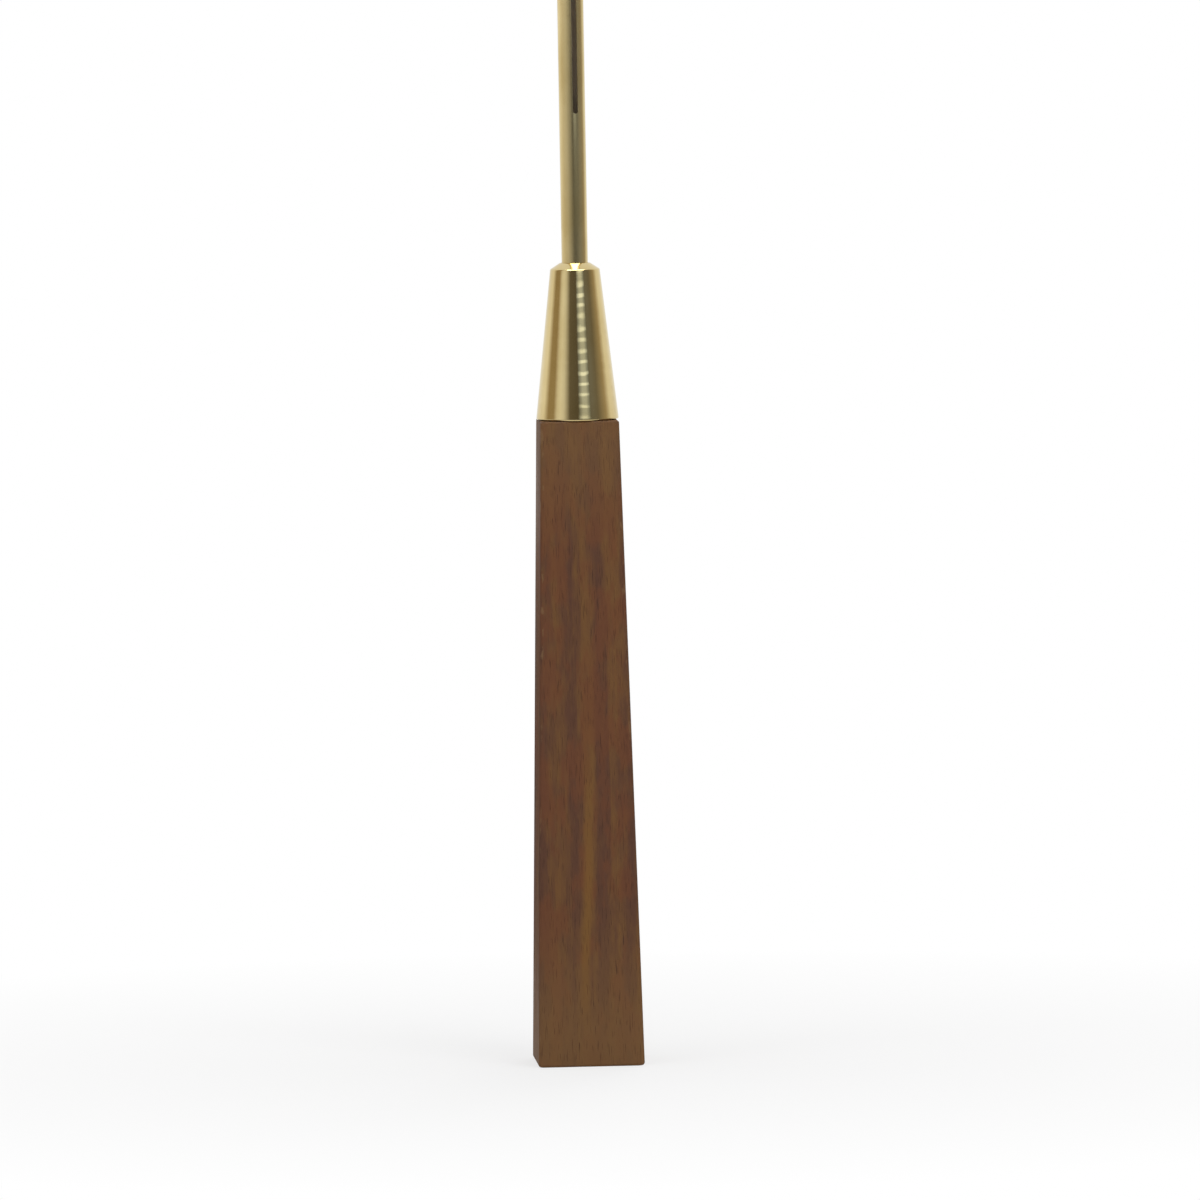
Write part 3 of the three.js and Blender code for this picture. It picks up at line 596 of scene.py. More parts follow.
def feed_ridges(look, pitch):
    """Heights of ridges as a tool's feed leaves them, on a cone that is slightly hollow."""
    height = look.add("ShaderNodeSeparateXYZ", {"Vector": look.place})["Z"]
    wander = look.noise(look.stretched(FEED_WANDER_SCALE), detail=1.0)
    turns = look.math("MULTIPLY_ADD", wander, FEED_WANDER, look.math("DIVIDE", height, pitch))
    angle = look.math("MULTIPLY", turns, -2 * math.pi)
    lean = look.math("SINE", look.math("MULTIPLY", angle, 2.0))
    ridges = look.math("MULTIPLY_ADD", lean, RIDGE_LEAN, look.math("SINE", angle))
    chatter = look.noise(look.stretched(CHATTER_SCALE, offset=(0, 0, 17)), detail=1.0)
    ridges = look.math("MULTIPLY", ridges, look.span(chatter, *CHATTER_DEPTHS))
    off_middle = look.math("SUBTRACT", height, ferrule_base + FERRULE_CONE_HEIGHT / 2)
    squared = look.math("MULTIPLY", off_middle, off_middle)
    return look.math("MULTIPLY_ADD", squared, RIDGE_HOLLOW, ridges)


def brass(name, marks, roughness, ridge_depth, axis=(0, 0), bore=0.0, pitch=0.0):
    """Polished brass about an upright axis: turned marks run round it, drawn marks along it.

    A bore is painted pale and matt, which is painted light that lightens the tube's dark inside. A pitch
    makes the ridges regular, as a tool's feed does.
    """
    look = Look(name)
    offset = (-axis[0], -axis[1], BRASS_SHIFT)
    line_scale, ridge_scale, ridge_detail = BRASS_MARKS[marks]
    clouds = look.noise(look.stretched(BRASS_CLOUD_SCALE, offset), detail=4.0, roughness=0.6)
    lines = look.noise(look.stretched(line_scale, offset), detail=3.0)
    if pitch:
        ridges = feed_ridges(look, pitch)
    else:
        ridges = look.noise(look.stretched(ridge_scale, offset), detail=ridge_detail)
    colour = look.mix(look.span(clouds, *TARNISH), BRASS_BRIGHT, BRASS_TARNISHED)
    polish = look.math("MULTIPLY_ADD", look.span(clouds, *BRASS_DULLED), DULLED_ROUGHNESS, roughness)
    polish = look.math("MULTIPLY_ADD", lines, LINE_ROUGHNESS, polish)
    metal = 1.0
    # Painted light: inside the bore the brass gives way to a pale matt colour that lightens the dark
    # inside.
    if bore:
        radius = look.length(look.vector("MULTIPLY", look.place, ACROSS_ONLY))
        metal = look.span(radius, bore, bore + BORE_BLEND_DEPTH)
        colour = look.mix(metal, BORE_PAINTED_LIGHT, colour)
        dulled = look.span(radius, bore, bore + BORE_BLEND_DEPTH, BORE_ROUGHNESS, 0.0)
        polish = look.math("MAXIMUM", polish, dulled)
    normal = look.bump(lines, LINE_DEPTH, look.bump(ridges, ridge_depth))
    return look.finish(Base_Color=colour, Metallic=metal, Roughness=polish, Normal=normal)


# Steel.
STEEL_BRIGHT = (0.42, 0.42, 0.43, 1)
STEEL_DULL = (0.26, 0.25, 0.25, 1)
STEEL_CLOUD_SCALE = (0.5, 0.5, 0.5)
STEEL_LINE_SCALE = (0.6, 0.6, 9.0)
STEEL_DULLED = (0.35, 0.7)
STEEL_ROUGHNESS = 0.28
STEEL_CLOUD_ROUGHNESS = 0.2
STEEL_LINE_DEPTH = 0.006


def steel():
    """Plain machined steel, a little dulled."""
    look = Look("steel")
    clouds = look.noise(look.stretched(STEEL_CLOUD_SCALE), detail=4.0)
    lines = look.noise(look.stretched(STEEL_LINE_SCALE))
    colour = look.mix(look.span(clouds, *STEEL_DULLED), STEEL_BRIGHT, STEEL_DULL)
    polish = look.math("MULTIPLY_ADD", clouds, STEEL_CLOUD_ROUGHNESS, STEEL_ROUGHNESS)
    normal = look.bump(lines, STEEL_LINE_DEPTH)
    return look.finish(Base_Color=colour, Metallic=1.0, Roughness=polish, Normal=normal)


# Wax. The reach of its glow is in metres.
WAX_CREAM = (0.86, 0.77, 0.58, 1)
WAX_PALE = (0.90, 0.85, 0.72, 1)
WAX_CLOUD_SCALE = (0.7, 0.7, 0.12)
WAX_DIMPLE_SCALE = (2.4, 2.4, 1.1)
WAX_BLOOM = (0.35, 0.7)
WAX_ROUGHNESS = 0.35
WAX_CLOUD_ROUGHNESS = 0.2
WAX_DIMPLE_DEPTH = 0.03
WAX_GLOW = 0.25
WAX_GLOW_REACH = 0.0015


def wax():
    """Cream wax with a cloudy bloom."""
    look = Look("wax")
    clouds = look.noise(look.stretched(WAX_CLOUD_SCALE), detail=4.0)
    dimples = look.noise(look.stretched(WAX_DIMPLE_SCALE))
    colour = look.mix(look.span(clouds, *WAX_BLOOM), WAX_CREAM, WAX_PALE)
    polish = look.math("MULTIPLY_ADD", clouds, WAX_CLOUD_ROUGHNESS, WAX_ROUGHNESS)
    return look.finish(
        Base_Color=colour,
        Roughness=polish,
        Normal=look.bump(dimples, WAX_DIMPLE_DEPTH),
        Subsurface_Weight=WAX_GLOW,
        Subsurface_Scale=WAX_GLOW_REACH,
    )


# Cotton.
COTTON_PALE = (0.82, 0.76, 0.64, 1)
COTTON_CHARRED = (0.022, 0.018, 0.016, 1)
CHAR_LENGTH = 3.4
CHAR_RAGGED = 2.5
FUZZ_SCALE = (6.0, 6.0, 2.5)
FUZZ_DEPTH = 0.06
COTTON_ROUGHNESS = (0.3, 0.7, 0.8, 0.95)


def cotton():
    """Waxed cotton, charred towards the tip."""
    look = Look("cotton")
    height = look.add("ShaderNodeSeparateXYZ", {"Vector": look.place})["Z"]
    fuzz = look.noise(look.stretched(FUZZ_SCALE), detail=4.0)
    char = look.math("MULTIPLY_ADD", look.centred(fuzz), CHAR_RAGGED, height)
    char = look.span(char, wick_top - CHAR_LENGTH, wick_top - CHAR_LENGTH / 2)
    colour = look.mix(char, COTTON_PALE, COTTON_CHARRED)
    rough = look.span(fuzz, *COTTON_ROUGHNESS)
    return look.finish(Base_Color=colour, Roughness=rough, Normal=look.bump(fuzz, FUZZ_DEPTH))


# The pieces, from the foot up.
def handle_section(height, inset):
    """The points of the handle's section at a height: a square with rounded corners."""
    side = FOOT_SIDE + (NECK_SIDE - FOOT_SIDE) * height / handle_top - 2 * inset
    reach = side / 2 - HANDLE_EDGE_RADIUS
    points = []
    for corner, (sign_x, sign_y) in enumerate(((1, 1), (-1, 1), (-1, -1), (1, -1))):
        for step in range(ARC_STEPS + 1):
            angle = (corner + step / ARC_STEPS) * math.pi / 2
            x = sign_x * reach + HANDLE_EDGE_RADIUS * math.cos(angle)
            y = sign_y * reach + HANDLE_EDGE_RADIUS * math.sin(angle)
            points.append(Vector((x, y, height)))
    return points


def handle():
    sections = []
    for step in range(ARC_STEPS + 1):
        angle = step / ARC_STEPS * math.pi / 2
        height = HANDLE_FOOT_RADIUS * (1 - math.cos(angle))
        sections.append(handle_section(height, HANDLE_FOOT_RADIUS * (1 - math.sin(angle))))
    sections.append(handle_section(handle_top - HANDLE_NECK_CHAMFER, 0))
    sections.append(handle_section(handle_top, HANDLE_NECK_CHAMFER))
    count = len(sections[0])
    vertices = [vertex for section in sections for vertex in section]
    faces = [tuple(reversed(range(count))), tuple(range(len(vertices) - count, len(vertices)))]
    for low in range(0, len(vertices) - count, count):
        for k in range(count):
            after = (k + 1) % count
            faces.append((low + k, low + after, low + count + after, low + count + k))
    above = handle_top + OVERCUT
    recess = rod(SPIGOT_RADIUS + SEAT_GAP, handle_top - SPIGOT_LENGTH - SEAT_GAP, above)
    pilot = rod(BOLT_HOLE_RADIUS, handle_top - BOLT_HOLE_DEPTH, above)
    return combined((vertices, faces), (recess, pilot), "DIFFERENCE")


def ferrule():
    seat = ferrule_top - TUBE_SEAT_DEPTH
    return turned(rounded([
        (BOLT_HOLE_RADIUS, ferrule_base - SPIGOT_LENGTH, SLIGHT_EDGE),
        (SPIGOT_RADIUS, ferrule_base - SPIGOT_LENGTH, SOFT_EDGE),
        (SPIGOT_RADIUS, ferrule_base, 0),
        (FERRULE_BASE_RADIUS, ferrule_base, FERRULE_BASE_EDGE),
        (FERRULE_SHOULDER_RADIUS, ferrule_base + FERRULE_CONE_HEIGHT, FERRULE_SHOULDER_EDGE),
        (FERRULE_TOP_RADIUS, ferrule_top, SMALL_EDGE),
        (TUBE_FIT, ferrule_top, SLIGHT_EDGE),
        (TUBE_FIT, seat, 0),
        (BOLT_HOLE_RADIUS, seat, 0),
    ]))


def main_tube():
    tube = ring(TUBE_BORE, TUBE_RADIUS, tube_bottom, tube_top, SLIGHT_EDGE, SEGMENTS)
    slot_start = ferrule_top + SLOT_START_ABOVE_FERRULE
    low_hole = slot_start + SLOT_END_RADIUS
    high_hole = slot_start + SLOT_LENGTH - SLOT_END_RADIUS
    reach = TUBE_RADIUS + OVERCUT
    slot = prism(sides=4, across_flats=1, start=low_hole, end=high_hole)
    turn_square = Matrix.Rotation(math.pi / 4, 4, "Z")
    thin = Matrix.Diagonal((SLOT_WIDTH, reach, 1, 1))
    cutters = [placed(slot, tube_turn @ Matrix.Translation((0, -reach / 2, 0)) @ thin @ turn_square)]
    for height in (low_hole, high_hole):
        hole = rod(SLOT_END_RADIUS, 0, reach)
        cutters.append(placed(hole, Matrix.Translation((0, 0, height)) @ tube_turn @ front))
    return combined(tube, cutters, "DIFFERENCE")


def rimmed_ring(bore, waist, rim, rim_height, half):
    """A ring about its own middle, with a rim at each end that sweeps into the waist."""
    rim_end = half - rim_height
    sweep = RIM_SWEEP_SHARE * (rim - waist)
    return turned(rounded([
        (bore, -half, SMALL_EDGE),
        (rim, -half, RIM_EDGE),
        (rim, -rim_end, THIN_EDGE),
        (waist, -rim_end, sweep),
        (waist, rim_end, sweep),
        (rim, rim_end, THIN_EDGE),
        (rim, half, RIM_EDGE),
        (bore, half, SMALL_EDGE),
    ]))


def slide_sleeve():
    sleeve = rimmed_ring(SLEEVE_BORE, SLEEVE_WAIST, SLEEVE_RIM, SLEEVE_RIM_HEIGHT, sleeve_half)
    sleeve = placed(sleeve, Matrix.Translation((0, 0, slide_height)))
    hole = placed(rod(STUD_HOLE, 0, SLEEVE_RIM + OVERCUT), thumb_axis)
    spot = placed(rod(SPOT_RADIUS, SPOT_FACE, SLEEVE_RIM + OVERCUT), thumb_axis)
    return combined(sleeve, (hole, spot), "DIFFERENCE")


def thumb_washer():
    washer = ring(STUD_HOLE, THUMB_WASHER_RADIUS, THUMB_WASHER_BASE, THUMB_WASHER_TOP, THIN_EDGE)
    return placed(washer, thumb_axis)


def thumb_stud():
    end = KNOB_TOP - KNOB_DISH_DEPTH - KNOB_CAP
    stud = turned(rounded([
        (0, STUD_POINT_START, 0),
        (STUD_POINT, STUD_POINT_START, SMALL_EDGE),
        (STUD_POINT, STUD_SHOULDER, 0),
        (STUD_RADIUS, STUD_SHOULDER, PLAIN_EDGE),
        (STUD_RADIUS, end, PLAIN_EDGE),
        (0, end, 0),
    ]), closed=False, segments=SMALL_SEGMENTS)
    return placed(stud, thumb_axis)


def thumb_knob():
    face = KNOB_RADIUS - KNOB_EDGE_CHAMFER
    dish = KNOB_TOP - KNOB_DISH_DEPTH
    stud_end = dish - KNOB_CAP + SEAT_GAP
    corners = [
        (0, stud_end, 0),
        (STUD_HOLE, stud_end, 0),
        (STUD_HOLE, KNOB_BASE, SLIGHT_EDGE),
        (KNOB_NECK_RADIUS, KNOB_BASE, SMALL_EDGE),
        (KNOB_NECK_RADIUS, KNOB_HEAD_BASE, SOFT_EDGE),
        (face, KNOB_HEAD_BASE, SMALL_EDGE),
        (KNOB_RADIUS, KNOB_HEAD_BASE + KNOB_EDGE_CHAMFER, SLIGHT_EDGE),
        (KNOB_RADIUS, KNOB_TOP - KNOB_EDGE_CHAMFER, SLIGHT_EDGE),
        (face, KNOB_TOP, SMALL_EDGE),
        *curve((face, KNOB_TOP), (face / 2, dish), (0, dish)),
    ]

    def knurled(radius, angle, _height):
        groove = KNURL_DEPTH * (0.5 - 0.5 * math.cos(KNURL_COUNT * angle))
        return min(radius, KNOB_RADIUS - groove)

    segments = KNURL_STEPS * KNURL_COUNT
    knob = turned(rounded(corners), closed=False, segments=segments, radius_at=knurled)
    return placed(knob, thumb_axis)


def wax_taper():
    point_start = taper_top - TAPER_POINT_LENGTH
    point = (TAPER_POINT_RADIUS, taper_top)
    straight = point_start - taper_bottom
    rows = round(straight / (TAPER_RIPPLE_LENGTH / RIPPLE_STEPS))
    side = [(TAPER_RADIUS, taper_bottom + straight * k / rows, 0) for k in range(1, rows)]
    corners = [
        (0, taper_bottom, 0),
        (TAPER_RADIUS, taper_bottom, PLAIN_EDGE),
        *side,
        (TAPER_RADIUS, point_start, 0),
        *curve((TAPER_RADIUS, point_start), (TAPER_RADIUS, point_start + TAPER_POINT_LENGTH / 2), point),
        (WICK_HOLE, taper_top, SLIGHT_EDGE),
        (WICK_HOLE, taper_top - WICK_IN_WAX, 0),
        (0, taper_top - WICK_IN_WAX, 0),
    ]

    def rippled(radius, angle, height):
        if radius <= WICK_HOLE:
            return radius
        spot = Vector((math.cos(angle), math.sin(angle), height / TAPER_RIPPLE_LENGTH))
        return radius - TAPER_RIPPLE * (1 + noise.noise(spot))

    return turned(rounded(corners), closed=False, segments=SMALL_SEGMENTS, radius_at=rippled)


def wick_core():
    """Cotton strands twisted together."""
    rows = round((wick_top - wick_bottom) / WICK_TWIST * CURVE_STEPS)
    tip = wick_top - WICK_RADIUS
    side = [(WICK_RADIUS, wick_bottom + (tip - wick_bottom) * k / rows, 0) for k in range(rows)]
    dome = curve((WICK_RADIUS, tip), (WICK_RADIUS, wick_top), (0, wick_top))

    def twisted(radius, angle, height):
        turn = angle - 2 * math.pi * height / WICK_TWIST
        return radius * (1 - WICK_GROOVE * (1 + math.cos(WICK_STRANDS * turn)))

    outline = rounded([(0, wick_bottom, 0), *side, (WICK_RADIUS, tip, 0), *dome])
    return turned(outline, closed=False, segments=SMALL_SEGMENTS, radius_at=twisted)


def wick_nozzle():
    rim_low = tube_top - NOZZLE_SKIRT_LENGTH
    rim_high = rim_low + NOZZLE_RIM_HEIGHT
    seat = tube_top + SEAT_GAP
    return turned(rounded([
        (TUBE_FIT, rim_low, SLIGHT_EDGE),
        (NOZZLE_RIM, rim_low, NOZZLE_RIM_EDGE),
        (NOZZLE_RIM, rim_high, NOZZLE_RIM_EDGE),
        (NOZZLE_SKIRT, rim_high + NOZZLE_RIM - NOZZLE_SKIRT, PLAIN_EDGE),
        (NOZZLE_SKIRT, tube_top, SLIGHT_EDGE),
        *curve((NOZZLE_SKIRT, tube_top), (NOZZLE_TIP, tube_top), (NOZZLE_TIP, nozzle_top - NOZZLE_LAND)),
        (NOZZLE_TIP, nozzle_top, PLAIN_EDGE),
        (NOZZLE_BORE, nozzle_top, PLAIN_EDGE),
        (NOZZLE_BORE, seat, 0),
        (TUBE_FIT, seat, 0),
    ]))


def branch_collar():
    ring_part = rimmed_ring(TUBE_FIT, COLLAR_RADIUS, COLLAR_RIM, COLLAR_RIM_HEIGHT, COLLAR_HEIGHT / 2)
    boss = placed(rod(BOSS_RADIUS, 0, BOSS_REACH, BOSS_CHAMFER), arm_lean)
    both = combined(placed(ring_part, collar_place), (boss,), "UNION")
    tube_hole = placed(rod(TUBE_FIT, -COLLAR_HEIGHT, COLLAR_HEIGHT, 0, SEGMENTS), collar_place)
    socket = placed(rod(SOCKET_RADIUS, SOCKET_FLOOR, BOSS_REACH + OVERCUT), arm_lean)
    collar_hole = placed(rod(SCREW_HOLE, 0, COLLAR_RIM + OVERCUT), collar_screw_axis)
    arm_hole = placed(rod(SCREW_HOLE, 0, BOSS_RADIUS + OVERCUT), arm_screw_axis)
    return combined(both, (tube_hole, socket, collar_hole, arm_hole), "DIFFERENCE")


def set_screw(start, end, axis):
    key = prism(HEXAGON, SCREW_KEY_ACROSS, end - SCREW_KEY_DEPTH, end + OVERCUT)
    return placed(combined(rod(SCREW_RADIUS, start, end, PLAIN_EDGE), (key,), "DIFFERENCE"), axis)


def bell_arm():
    """A bent rod that ends in a screw thread."""
    rise = Vector((math.cos(ARM_RISE), 0, math.sin(ARM_RISE)))
    middle = Vector((0, 0, collar_height))
    bend = Vector((bell_across - ARM_BEND_RADIUS, 0, bell_high.z + ARM_DROP))
    arch = []
    for step in range(ARCH_STEPS + 1):
        angle = (ARM_RISE + math.pi / 2) * (1 - step / ARCH_STEPS)
        arch.append(bend + ARM_BEND_RADIUS * Vector((math.cos(angle), 0, math.sin(angle))))
    foot = middle + (SOCKET_FLOOR + SEAT_GAP) * rise
    shoulder = bell_high.z + SEAT_GAP
    rows = round((shoulder - thread_end) / THREAD_PITCH * THREAD_STEPS)
    step_down = (thread_end - shoulder) / rows
    drop = [Vector((bell_across, 0, shoulder + step_down * k)) for k in range(rows + 1)]
    centres = [foot, *arch, drop[0], *drop]

    def radius_at(row, angle):
        centre = centres[row]
        if row <= len(arch) + 1:
            return ARM_RADIUS
        turn = centre.z / THREAD_PITCH + angle / (2 * math.pi)
        groove = THREAD_DEPTH * (0.5 - 0.5 * math.cos(2 * math.pi * turn))
        return THREAD_RADIUS - groove

    return swept(centres, radius_at)


def bell_bead():
    body_top = bead_bottom + BEAD_BODY_HEIGHT
    waist = (bead_bottom + body_top) / 2
    widest = BEAD_RADIUS - BEAD_EASE
    bead = turned(rounded([
        (SOCKET_RADIUS, bead_bottom, SLIGHT_EDGE),
        (BELL_CROWN, bead_bottom, 0),
        *curve((BELL_CROWN, bead_bottom), (BEAD_RADIUS, bead_bottom), (widest, waist)),
        *curve((widest, waist), (widest - BEAD_EASE, body_top), (BEAD_NECK_RADIUS, body_top)),
        (BEAD_NECK_RADIUS, bead_top, PLAIN_EDGE),
        (SOCKET_RADIUS, bead_top, PLAIN_EDGE),
    ]), segments=SMALL_SEGMENTS)
    return placed(bead, bell_axis)


def bell_side(inset):
    """One face of the bell's wall, from above its lip up to its crown."""
    crown = bell_high.z
    lip = (BELL_LIP - inset, bell_low.z + BELL_LIP_HEIGHT)
    waist = (BELL_WAIST - inset, crown - BELL_SHOULDER_DROP)
    flare = (waist[0], (lip[1] + waist[1]) / 2)
    top = (BELL_CROWN, crown - inset)
    return [(*lip, 0), *curve(lip, flare, waist), *curve(waist, (waist[0], top[1]), top)]


def bell():
    mouth_radius = bell_high.x - bell_across
    mouth = bell_low.z
    corners = [
        (BELL_LIP - BELL_WALL, mouth, SOFT_EDGE),
        (mouth_radius, mouth, BELL_MOUTH_EDGE),
        (mouth_radius, mouth + BELL_LIP_HEIGHT, SOFT_EDGE),
        *bell_side(0),
        (THREAD_HOLE, bell_high.z, SLIGHT_EDGE),
        (THREAD_HOLE, bell_high.z - BELL_WALL, SLIGHT_EDGE),
        *reversed(bell_side(BELL_WALL)),
    ]
    return placed(turned(rounded(corners)), bell_axis)


def bell_washer():
    washer = ring(THREAD_HOLE, BELL_CROWN - WASHER_INSET, washer_bottom, washer_top, THIN_EDGE)
    return placed(washer, bell_axis)


def bell_nut():
    corner = NUT_ACROSS_FLATS / 2 / math.cos(math.pi / HEXAGON)
    chamfer = corner - NUT_ACROSS_FLATS / 2
    nut = prism(HEXAGON, NUT_ACROSS_FLATS, nut_bottom, nut_top)
    bevelled = rod(corner, nut_bottom, nut_top, chamfer)
    nut = combined(nut, (bevelled,), "INTERSECT")
    nut = combined(nut, (rod(THREAD_HOLE, nut_bottom - OVERCUT, nut_top + OVERCUT),), "DIFFERENCE")
    return placed(nut, bell_axis)


turned_brass = brass("turned_brass", "turned", roughness=0.05, ridge_depth=0.0128, pitch=TOOL_FEED)
fine_brass = brass("fine_turned_brass", "turned", roughness=0.1, ridge_depth=0.015)
drawn_brass = brass("drawn_brass", "drawn", roughness=0.12, ridge_depth=0.03, bore=TUBE_BORE)
rod_brass = brass("rod_brass", "drawn", roughness=0.12, ridge_depth=0.03)
spun_brass = brass("spun_brass", "turned", roughness=0.11, ridge_depth=0.04, axis=(bell_across, 0))
plain_steel = steel()

show("handle", handle(), walnut())
show("ferrule", ferrule(), turned_brass)
show("main_tube", main_tube(), drawn_brass)
show("slide_sleeve", slide_sleeve(), fine_brass)
show("thumb_washer", thumb_washer(), plain_steel)
show("thumb_stud", thumb_stud(), plain_steel)
show("thumb_knob", thumb_knob(), fine_brass)
show("wax_taper", wax_taper(), wax())
show("wick_core", wick_core(), cotton())
show("wick_nozzle", wick_nozzle(), fine_brass)
show("branch_collar", branch_collar(), fine_brass)
show("collar_set_screw", set_screw(TUBE_RADIUS + SEAT_GAP, COLLAR_RADIUS, collar_screw_axis), plain_steel)
show("arm_set_screw", set_screw(ARM_RADIUS + SEAT_GAP, BOSS_RADIUS, arm_screw_axis), plain_steel)
show("bell_arm", bell_arm(), rod_brass)
show("bell_bead", bell_bead(), spun_brass)
show("bell", bell(), spun_brass)
show("bell_washer", bell_washer(), plain_steel)
show("bell_nut", bell_nut(), spun_brass)
for node, material in (("hanger_bolt", plain_steel), ("wick_carrier", fine_brass)):
    frame["nodes"][node].data.materials.clear()
    frame["nodes"][node].data.materials.append(material)


# The camera's place, in metres and degrees, and its lens, in millimetres, fitted to the photograph.
CAMERA_BEARING = -3.46
CAMERA_HEIGHT = 0.44
CAMERA_DISTANCE = 4.2
CAMERA_ROLL = -1.0
CAMERA_REACH = 100.0
AIM_HEIGHT = 0.14016
AIM_ASIDE = 0.00584
LENS = 417.7


def camera():
    bearing = math.radians(CAMERA_BEARING)
    aside = AIM_ASIDE * Vector((math.cos(bearing), math.sin(bearing), 0))
    across = math.sin(bearing) * CAMERA_DISTANCE
    back = math.cos(bearing) * CAMERA_DISTANCE
    eye = aside + Vector((across, -back, CAMERA_HEIGHT))
    aim = aside + Vector((0, 0, AIM_HEIGHT))
    data = bpy.data.cameras.new("camera")
    data.lens = LENS
    data.clip_end = CAMERA_REACH
    made = bpy.data.objects.new("camera", data)
    roll = Matrix.Rotation(math.radians(CAMERA_ROLL), 4, "Z")
    turn = (aim - eye).to_track_quat("-Z", "Y").to_matrix().to_4x4()
    made.matrix_world = Matrix.Translation(eye) @ turn @ roll
    bpy.context.scene.collection.objects.link(made)
    bpy.context.scene.camera = made


# The studio, in metres: a white floor and surround, soft lamps, and cards that only reflections see.
AMBIENT_LEVEL = 0.45
FLOOR_SIZE = 60.0
FLOOR_WHITE = (0.86, 0.86, 0.86, 1)
FLOOR_GLOW_NEAR = 0.7
FLOOR_GLOW_FAR_AT = 0.35

# What polished metal mirrors: three rings of upright cards, one above another, and a nearer ring round the
# foot. Each entry has a bearing in degrees from the camera's, right being positive, a level and a warmth.
CARD_DISTANCE = 2.4
FOOT_CARD_DISTANCE = 0.8
CARD_FOOT = 0.0
FOOT_CARD_TOP = 0.2
CARD_LOW_TOP = 0.172
CARD_MIDDLE_TOP = 0.25
CARD_TOP = 3.2
LOW_CARDS = (
    (-180, 0.95, 0.0), (-140, 1.00, 0.0), (-100, 0.80, 0.2), (-55, 0.61, 0.1), (0, 0.14, -0.1),
    (20, 0.14, -0.1), (50, 0.27, -0.1), (100, 0.41, 0.5), (120, 0.88, 0.1), (145, 1.00, 0.0),
    (180, 0.95, 0.0),
)
MIDDLE_CARDS = (
    (-180, 0.95, 0.0), (-145, 1.00, 0.0), (-100, 1.15, 0.0), (-76, 1.05, 0.0), (-55, 0.82, 0.0),
    (-18, 0.76, -0.1), (0, 0.40, -0.1), (18, 0.20, 0.0), (55, 0.21, -0.4), (100, 0.22, 0.3),
    (116, 0.75, 0.1), (145, 1.00, 0.0), (180, 0.95, 0.0),
)
HIGH_CARDS = (
    (-180, 0.95, 0.0), (-145, 1.00, 0.0), (-112, 1.00, 0.1), (-92, 0.40, 0.9), (-72, 0.40, 0.9),
    (-60, 0.85, 0.1), (-50, 0.95, 0.0), (-39, 0.80, 0.0), (-22, 0.16, 0.5), (2, 0.13, 0.5), (45, 0.21, 0.0),
    (62, 0.20, 0.4), (90, 0.46, 0.7), (110, 0.95, 0.1), (145, 1.00, 0.0), (180, 0.95, 0.0),
)
# What a warmth of 1 takes from red, green and blue.
CARD_WARM_LOSS = Vector((0.0, 0.23, 0.55))
# A dark card behind the handle's left side.
HANDLE_CARD_DISTANCE = 0.25
HANDLE_CARD_TOP = 0.14
HANDLE_CARD = ((-178, 0.16, 0.0), (-135, 0.16, 0.0), (-92, 0.16, 0.0))
# Slats, one above another, that each ridge of the ferrule mirrors as a bead of light. Shares of their level
# go by bearing, and each slat has a foot, a top and a level.
SLAT_DISTANCE = 0.76
SLAT_SHARES = ((5, 0.3), (17, 1.0), (27, 1.0), (38, 0.35))
SLAT_WARMTH = -0.5
SLATS = (
    ("slat_dim", 0.262, 0.3365, 0.58),
    ("slat_middle", 0.3365, 0.3465, 0.85),
    ("slat_bright", 0.3465, 0.520, 1.20),
)

# Lamps, with their places and powers. The glint shows in polished metal alone.
LAMP_AIM = Vector((0, 0, 0.3))
LAMP_SIZE = (1.2, 1.2)
LAMPS = (
    ("key", (1.0, -1.8, 1.5), 20.6),
    ("fill", (-1.6, -1.2, 1.0), 8),
    ("back", (0.7, 2.2, 1.5), 16),
)
GLINT_PLACE = (0, -0.65, 1.9)
GLINT_SIZE = (2.0, 0.6)
GLINT_POWER = 40


def seen_share(tree):
    """A socket that is 1 for rays from the camera, off gloss and through glass, and 0 for the rest."""
    path = tree.nodes.new("ShaderNodeLightPath")
    total = path.outputs["Is Camera Ray"]
    for kind in ("Is Glossy Ray", "Is Transmission Ray"):
        larger = tree.nodes.new("ShaderNodeMath")
        larger.operation = "MAXIMUM"
        tree.links.new(total, larger.inputs[0])
        tree.links.new(path.outputs[kind], larger.inputs[1])
        total = larger.outputs["Value"]
    return total


def white_surround():
    world = bpy.data.worlds.new("studio")
    world.use_nodes = True
    bpy.context.scene.world = world
    tree = world.node_tree
    background = tree.nodes["Background"]
    background.inputs["Color"].default_value = (1, 1, 1, 1)
    level = tree.nodes.new("ShaderNodeMapRange")
    level.inputs["To Min"].default_value = AMBIENT_LEVEL
    tree.links.new(seen_share(tree), level.inputs["Value"])
    tree.links.new(level.outputs["Result"], background.inputs["Strength"])


def stage_material(name):
    """A material and its nodes, without a shader yet. Its glow isn't sampled as a lamp's is."""
    material = bpy.data.materials.new(name)
    material.use_nodes = True
    material.cycles.emission_sampling = "NONE"
    tree = material.node_tree
    tree.nodes.remove(tree.nodes["Principled BSDF"])
    return material, tree


def stage_mesh(name, vertices, faces, material):
    mesh = bpy.data.meshes.new(name)
    mesh.from_pydata(vertices, [], faces)
    mesh.materials.append(material)
    made = bpy.data.objects.new(name, mesh)
    bpy.context.scene.collection.objects.link(made)
    return made


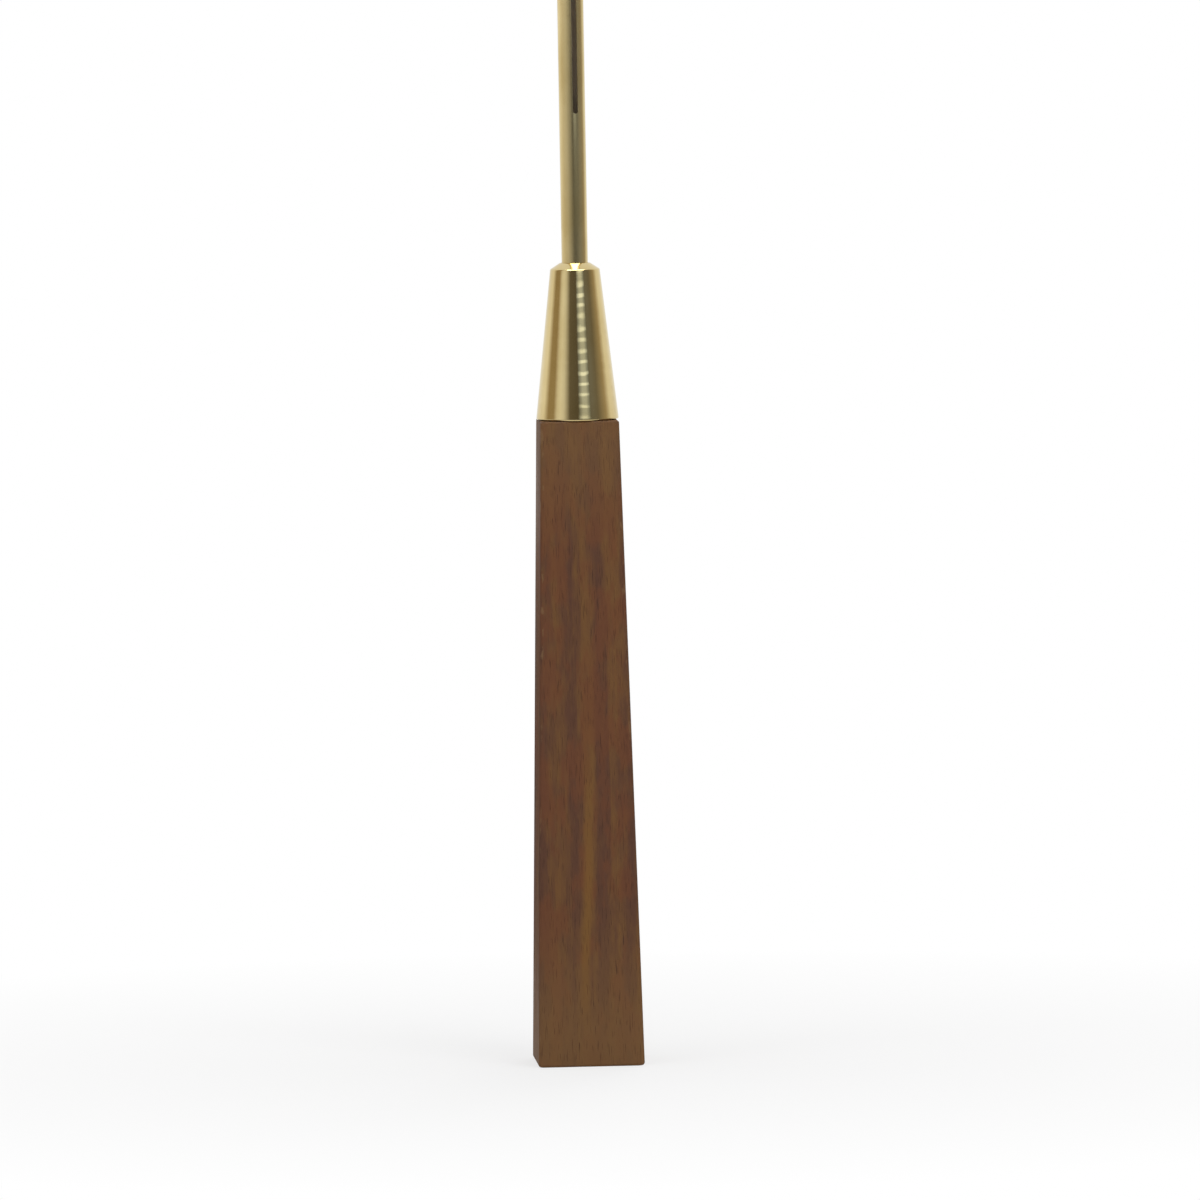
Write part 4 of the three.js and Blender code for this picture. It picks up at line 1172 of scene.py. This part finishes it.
def floor():
    """A white floor that keeps a soft shadow round the foot and fades to plain white further out."""
    material, tree = stage_material("floor")
    matt = tree.nodes.new("ShaderNodeBsdfDiffuse")
    matt.inputs["Color"].default_value = FLOOR_WHITE
    glow = tree.nodes.new("ShaderNodeEmission")
    place = tree.nodes.new("ShaderNodeTexCoord").outputs["Object"]
    length = tree.nodes.new("ShaderNodeVectorMath")
    length.operation = "LENGTH"
    tree.links.new(place, length.inputs[0])
    fade = tree.nodes.new("ShaderNodeMapRange")
    fade.inputs["From Max"].default_value = FLOOR_GLOW_FAR_AT
    fade.inputs["To Min"].default_value = FLOOR_GLOW_NEAR
    tree.links.new(length.outputs["Value"], fade.inputs["Value"])
    share = tree.nodes.new("ShaderNodeMath")
    share.operation = "MULTIPLY"
    tree.links.new(fade.outputs["Result"], share.inputs[0])
    tree.links.new(seen_share(tree), share.inputs[1])
    mix = tree.nodes.new("ShaderNodeMixShader")
    tree.links.new(share.outputs["Value"], mix.inputs[0])
    tree.links.new(matt.outputs["BSDF"], mix.inputs[1])
    tree.links.new(glow.outputs["Emission"], mix.inputs[2])
    tree.links.new(mix.outputs["Shader"], tree.nodes["Material Output"].inputs["Surface"])
    half = FLOOR_SIZE / 2
    corners = [(-half, -half, 0), (half, -half, 0), (half, half, 0), (-half, half, 0)]
    stage_mesh("floor", corners, [(0, 1, 2, 3)], material)


def cards(name, distance, low, high, tones):
    """A row of upright cards that only reflections see. Tones blend from each bearing to the next."""
    material, tree = stage_material(name)
    tone = tree.nodes.new("ShaderNodeAttribute")
    tone.attribute_name = "tone"
    glow = tree.nodes.new("ShaderNodeEmission")
    tree.links.new(tone.outputs["Color"], glow.inputs["Color"])
    tree.links.new(glow.outputs["Emission"], tree.nodes["Material Output"].inputs["Surface"])
    vertices, colours = [], []
    for bearing, level, warmth in tones:
        angle = math.radians(CAMERA_BEARING + bearing)
        colour = level * (Vector((1, 1, 1)) - warmth * CARD_WARM_LOSS)
        for height in (low, high):
            vertices.append((distance * math.sin(angle), -distance * math.cos(angle), height))
            colours.extend((*colour, 1))
    faces = [(k, k + 2, k + 3, k + 1) for k in range(0, len(vertices) - 2, 2)]
    made = stage_mesh(name, vertices, faces, material)
    made.data.color_attributes.new("tone", "FLOAT_COLOR", "POINT").data.foreach_set("color", colours)
    made.visible_camera = False
    made.visible_diffuse = False
    made.visible_shadow = False
    made.visible_transmission = False


def lamp(name, place, size, power, mirrored=False):
    """A soft lamp. A mirrored one shows in polished metal and lights nothing else."""
    data = bpy.data.lights.new(name, "AREA")
    data.shape = "RECTANGLE"
    data.size, data.size_y = size
    data.energy = power
    made = bpy.data.objects.new(name, data)
    made.location = place
    made.rotation_euler = (LAMP_AIM - Vector(place)).to_track_quat("-Z", "Y").to_euler()
    made.visible_camera = False
    made.visible_glossy = mirrored
    made.visible_diffuse = not mirrored
    bpy.context.scene.collection.objects.link(made)


camera()
white_surround()
floor()
cards("cards_foot", FOOT_CARD_DISTANCE, CARD_FOOT, FOOT_CARD_TOP, LOW_CARDS)
cards("cards_low", CARD_DISTANCE, CARD_FOOT, CARD_LOW_TOP, LOW_CARDS)
cards("cards_middle", CARD_DISTANCE, CARD_LOW_TOP, CARD_MIDDLE_TOP, MIDDLE_CARDS)
cards("cards_high", CARD_DISTANCE, CARD_MIDDLE_TOP, CARD_TOP, HIGH_CARDS)
cards("card_handle", HANDLE_CARD_DISTANCE, CARD_FOOT, HANDLE_CARD_TOP, HANDLE_CARD)
for name, low, high, level in SLATS:
    slat_tones = [(bearing, share * level, SLAT_WARMTH) for bearing, share in SLAT_SHARES]
    cards(name, SLAT_DISTANCE, low, high, slat_tones)
for name, place, power in LAMPS:
    lamp(name, place, LAMP_SIZE, power)
lamp("glint", GLINT_PLACE, GLINT_SIZE, GLINT_POWER, mirrored=True)

bpy.context.scene.view_settings.view_transform = "Standard"
